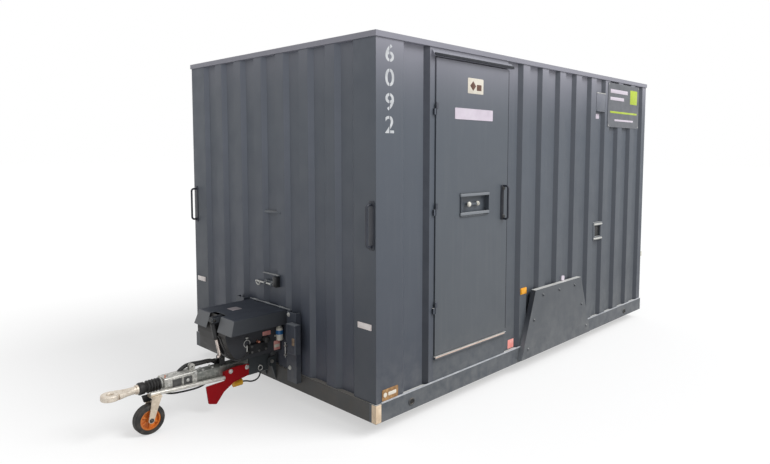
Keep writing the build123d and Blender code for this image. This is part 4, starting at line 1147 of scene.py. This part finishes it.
def buildHoses():
    for name, hose in hoses.items():
        piece = hoseCurve(name, hose["points"], hose["radius"])
        piece.data.materials.append(blackRubber)
        length, path = lineLength(piece)
        print(name, "length", round(length, 4))
        body, stiffness = hose["body"], hose["stiffness"]
        if name == "ram_hose":  # runs between the ram and the tub, so it is made a mesh and joins no body
            pickOnly(piece)
            bpy.ops.object.convert(target="MESH")
            piece = bpy.context.object
            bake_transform(piece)
        else:
            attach(piece, body)
    print("hoses built")


# coupling: rubber boot and its clamp, ribs, pockets and bolts of the housing, grease nipple, tube bolts

rubberBoot = {"axisHeight": 0.278, "span": (-2.930, -2.790), "sleeve": 0.050, "folds": 5, "radii": (0.0310, 0.0410),
              "clamp": [(0, 0.0335), (0.001, 0.0350), (0.009, 0.0350), (0.010, 0.0335)]}
housing = {
    "x": (-2.780, -2.560), "side": 0.050, "top": 0.317, "sink": 0.001,
    "ribEnds": (0.018, 0.012), "ribHeights": ((0.228, 0.236), (0.298, 0.306)), "ribStand": 0.005,
    "ribTaper": (0.97, 1, 0.6),
    "webs": (-2.735, -2.660, -2.590), "webHalf": 0.004, "webHeights": (0.234, 0.300), "webStand": 0.004,
    "pockets": ((-2.728, -2.667), (-2.652, -2.597)), "pocketHeights": (0.240, 0.294), "pocketDepths": (-0.0005, 0.0012),
    "boltFace": 0.0512, "bolts": ((-2.752, 0.268), (-2.625, 0.268), (-2.572, 0.232), (-2.572, 0.302)),
    "topBolts": (-2.745, -2.690), "boltSize": 0.0075, "nippleAt": (-2.765, -0.022), "nippleLean": (0, -0.25, 1),
    "nipple": [(0, 0.006), (0.006, 0.006), (0.007, 0.004), (0.014, 0.0035), (0.015, 0.005), (0.019, 0.0045),
               (0.021, 0.002)],
}
tubeBolts = {"side": 0.040, "sideHeight": 0.257, "sideAlong": (-2.520, -2.450),
             "top": 0.297, "topAlong": (-2.505, -2.435), "topAcross": (-0.022, 0.022)}


# one sleeve, then folds: (along, radius) steps from the eye's end
def bootProfile(length, sleeve, folds, small, large):
    pitch = (length - sleeve) / folds
    steps = [(0, small * 0.9), (0.0005, small), (0.004, large - 0.003), (0.010, large - 0.0015),
             (sleeve - 0.014, large - 0.003), (sleeve - 0.006, small + 0.001)]
    shoulder = [(0.18, small + 0.0012), (0.34, large - 0.0010), (0.46, large), (0.58, large), (0.70, large - 0.0010),
                (0.86, small + 0.0012)]
    for fold in range(folds):
        start = sleeve + fold * pitch
        steps.append((start + 0.001, small - 0.001))
        steps += [(start + pitch * share, radius) for share, radius in shoulder]
        steps.append((start + pitch - 0.0008, small - 0.001))
    return steps + [(length, small * 0.9)]


def buildCouplingFittings():
    height = rubberBoot["axisHeight"]
    left, right = rubberBoot["span"]
    profile = bootProfile(right - left, rubberBoot["sleeve"], rubberBoot["folds"], *rubberBoot["radii"])
    boot = turnPiece(profile, (left, 0, height), (1, 0, 0), 36)
    finishPiece(boot, "rubber_boot", "drawbar", blackRubber, 60)
    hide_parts("bellows")
    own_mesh(boot)
    clamp = turnPiece(rubberBoot["clamp"], (right - 0.001, 0, height), (1, 0, 0), 32)
    finishPiece(clamp, "boot_clamp", "drawbar", paleSteel)
    (left, right), face = housing["x"], housing["side"]
    left, right = left + housing["ribEnds"][0], right - housing["ribEnds"][1]
    sunk, half = face - housing["sink"], housing["webHalf"]
    ribs, pockets = [], []
    for side in (-1, 1):
        way = (0, side, 0)
        near, far = sideSpan(side, sunk, face + housing["ribStand"])
        for low, high in housing["ribHeights"]:  # long ribs along the casting
            ribs.append(taperedBlock((left, near, low), (right, far, high), way, housing["ribTaper"], 0.0012))
        near, far = sideSpan(side, sunk, face + housing["webStand"])
        low, high = housing["webHeights"]
        for along in housing["webs"]:
            ribs.append(facedBlock((along - half, near, low), (along + half, far, high), way, 0.001, 0.001, 0.001))
        # darker plates in the housing's pockets: painted shade in the recesses
        near, far = sideSpan(side, *(face + depth for depth in housing["pocketDepths"]))
        low, high = housing["pocketHeights"]
        for start, end in housing["pockets"]:
            pocket = startBlock((start, near, low), (end, far, high))
            pushFace(pocket, way, 0.004, -0.0008)
            pockets.append(pocket)
    finishPiece(joinPieces(ribs), "housing_ribs", "drawbar", zinc)
    finishPiece(joinPieces(pockets), "housing_pocket_shades", "drawbar", oldZinc)
    size, top = housing["boltSize"], housing["top"]
    spots = [((x, side * housing["boltFace"], z), (0, side, 0)) for x, z in housing["bolts"] for side in (-1, 1)]
    spots += [((x, 0, top), upward) for x in housing["topBolts"]]
    setFasteners(boltMaster(size), "housing_bolts", spots, "drawbar", paleSteel)
    nipple = turnPiece(housing["nipple"], (*housing["nippleAt"], top - 0.004), housing["nippleLean"], 14)
    finishPiece(nipple, "grease_nipple", "drawbar", copperFitting)
    spots = [((x, tubeBolts["side"], tubeBolts["sideHeight"]), (0, 1, 0)) for x in tubeBolts["sideAlong"]]
    spots += [((x, y, tubeBolts["top"]), upward) for x in tubeBolts["topAlong"] for y in tubeBolts["topAcross"]]
    setFasteners(boltMaster(size), "tube_bolts", spots, "drawbar", paleSteel)
    print("coupling fittings built")


# jockey wheel: axle nuts, rubber pad of the fork, bracket bolts, spokes and lips of the moulded rim

jockeyFittings = {
    "axle": (-2.890, -0.102, 0.094), "farFace": -0.014,
    "nut": [(0, 0.0150), (0.002, 0.0150), (0.0025, 0.0105), (0.009, 0.0105), (0.010, 0.009)],
    "axleEnd": [(0.009, 0.006), (0.013, 0.006), (0.014, 0.004)],
    "farNut": [(0, 0.0140), (0.002, 0.0140), (0.0025, 0.0105), (0.008, 0.0105), (0.009, 0.009)],
    "pad": ((-2.914, -0.0245, 0.191), (-2.824, -0.0118, 0.2360)), "padTaper": (0.72, 1, 1),
    "bracketBolts": [(-2.331, 0.256), (-2.205, 0.254)], "bracketFace": -0.080, "bracketBoltSize": 0.0105,
}
rimFittings = {
    "centre": (-2.890, -0.058, 0.094), "faces": (-0.066, -0.050), "spokes": 6, "hub": 0.017, "reach": 0.058,
    "spokeHalf": 0.0045, "spokeStand": 0.007, "spokeFlare": (1.9, 1, 1), "lip": (0.0590, 0.0035), "lipStand": 0.012,
    "boss": [(0, 0.020), (0.010, 0.020), (0.013, 0.017), (0.014, 0.012)],
}


def buildJockeyFittings():
    x, y, z = jockeyFittings["axle"]
    nut = turnPiece(jockeyFittings["nut"], (x, y, z), toRight, 6)
    end = turnPiece(jockeyFittings["axleEnd"], (x, y, z), toRight, 16)
    farNut = turnPiece(jockeyFittings["farNut"], (x, jockeyFittings["farFace"], z), (0, 1, 0), 6)
    finishPiece(joinPieces([nut, end, farNut]), "jockey_axle_nuts", "drawbar", frameSteel)
    pad = taperedBlock(*jockeyFittings["pad"], (0, 0, -1), jockeyFittings["padTaper"], 0.002)
    finishPiece(pad, "fork_pad", "drawbar", blackRubber)
    spots = [((x, jockeyFittings["bracketFace"], z), toRight) for x, z in jockeyFittings["bracketBolts"]]
    size = jockeyFittings["bracketBoltSize"]
    setFasteners(boltMaster(size), "bracket_bolts", spots, "drawbar", paleSteel)
    centre, half = Vector(rimFittings["centre"]), rimFittings["spokeHalf"]
    foot, reach = centre.z + rimFittings["hub"], centre.z + rimFittings["reach"]
    turn = 2 * math.pi / rimFittings["spokes"]
    rim = []
    for face, side in zip(rimFittings["faces"], (-1, 1)):
        near, far = sorted((face - side * 0.0005, face + side * rimFittings["spokeStand"]))
        for number in range(rimFittings["spokes"]):
            spoke = startBlock((centre.x - half, near, foot), (centre.x + half, far, reach))
            pickFaces(spoke, upward)
            bpy.ops.transform.resize(value=rimFittings["spokeFlare"])
            bpy.ops.mesh.select_all(action="SELECT")
            bpy.ops.transform.rotate(value=turn * number, orient_axis="Y", center_override=centre)
            doneEditing()
            roundEdges(spoke, 0.0015)
            rim.append(spoke)
        lipPlace = (centre.x, face + side * rimFittings["lipStand"], centre.z)
        rim.append(ringPiece(lipPlace, (0, 1, 0), *rimFittings["lip"], rings=48))
        rim.append(turnPiece(rimFittings["boss"], (centre.x, face, centre.z), (0, side, 0), 28))
    finishPiece(joinPieces(rim), "rim_spokes", "jockey_wheel", orangePlastic)
    print("jockey wheel fittings built")


buildDoorMarks()
buildStencilNumbers()
buildWallMarks()
buildBoardBars()
buildInletBox()
buildRailFittings()
buildFrontFittings()
buildHoodFittings()
buildPumpFittings()
buildTubFittings()
buildRamFittings()
buildHoses()
buildCouplingFittings()
buildJockeyFittings()


# light, floor and camera

lightRig = {
    "worldLevel": 0.58, "keyPower": 2.2, "keyPlace": (-3, -6, 6), "keyAim": (-0.50, 0.80, -0.95), "keyAngle": 36,
    "floorColor": srgb(186, 186, 186), "floorLift": 0.52, "floorSize": 160, "floorDrop": 0.001, "floorRough": 0.9,
}
pureWhite = (1, 1, 1, 1)


def seenDirectly(tree):
    path = addNode(tree, "ShaderNodeLightPath")
    mirrored = maths(tree, "MAXIMUM", path.outputs["Is Glossy Ray"], path.outputs["Is Transmission Ray"])
    return maths(tree, "MAXIMUM", path.outputs["Is Camera Ray"], mirrored)


def buildLight():
    world = bpy.data.worlds.new("studioWorld")
    scene.world = world
    world.use_nodes = True
    tree = world.node_tree
    soft = tree.nodes["Background"]
    soft.inputs["Color"].default_value = pureWhite
    soft.inputs["Strength"].default_value = lightRig["worldLevel"]
    backdrop = addNode(tree, "ShaderNodeBackground", Color=pureWhite, Strength=1)
    pick = addNode(tree, "ShaderNodeMixShader")
    for source, socket in zip((seenDirectly(tree), soft.outputs[0], backdrop.outputs[0]), pick.inputs):
        tree.links.new(source, socket)
    tree.links.new(pick.outputs[0], tree.nodes["World Output"].inputs["Surface"])
    clearAll()
    bpy.ops.object.light_add(type="SUN", location=lightRig["keyPlace"])
    key = bpy.context.object
    key.name = "softKey"
    key.data.energy = lightRig["keyPower"]
    key.data.angle = math.radians(lightRig["keyAngle"])
    key.rotation_euler = Vector(lightRig["keyAim"]).to_track_quat("-Z", "Y").to_euler()


def buildFloor():
    clearAll()
    bpy.ops.mesh.primitive_plane_add(size=lightRig["floorSize"], location=(0, 0, -lightRig["floorDrop"]))
    floor = bpy.context.object
    floor.name = "studioFloor"
    material, tree, shader = newMaterial("paleFloor")
    shader.inputs["Base Color"].default_value = lightRig["floorColor"]
    shader.inputs["Roughness"].default_value = lightRig["floorRough"]
    shader.inputs["Specular IOR Level"].default_value = 0
    shader.inputs["Emission Color"].default_value = pureWhite
    lift = maths(tree, "MULTIPLY", seenDirectly(tree), lightRig["floorLift"])  # white floor that keeps its shadow
    tree.links.new(lift, shader.inputs["Emission Strength"])
    floor.data.materials.append(material)


photoView = {
    "place": (-4.46551, -3.83738, 1.77633), "yaw": 47.13723, "pitch": 4.43605, "roll": 0.27629,
    "focalPixels": 611.488, "middle": (420.0, 199.048), "frame": (770, 464), "sensor": 36, "reach": 400,
}


def buildCamera():
    yaw, pitch, roll = (math.radians(photoView[key]) for key in ("yaw", "pitch", "roll"))
    forward = Vector((math.cos(pitch) * math.sin(yaw), math.cos(pitch) * math.cos(yaw), -math.sin(pitch)))
    level = Vector((math.cos(yaw), -math.sin(yaw), 0))
    above = level.cross(forward)
    right = level * math.cos(roll) + above * math.sin(roll)
    top = above * math.cos(roll) - level * math.sin(roll)
    clearAll()
    bpy.ops.object.camera_add()
    camera = bpy.context.object
    camera.name = "photoCamera"
    turned = Matrix((right, top, -forward)).transposed().to_4x4()
    camera.matrix_world = Matrix.Translation(photoView["place"]) @ turned
    width, height = photoView["frame"]
    camera.data.sensor_width = photoView["sensor"]
    camera.data.lens = photoView["focalPixels"] / width * photoView["sensor"]
    camera.data.shift_x = (width / 2 - photoView["middle"][0]) / width
    camera.data.shift_y = (photoView["middle"][1] - height / 2) / width
    camera.data.clip_end = photoView["reach"]
    scene.camera = camera


buildLight()
buildFloor()
buildCamera()
scene.view_settings.view_transform = "Standard"
print("light, floor and camera set")
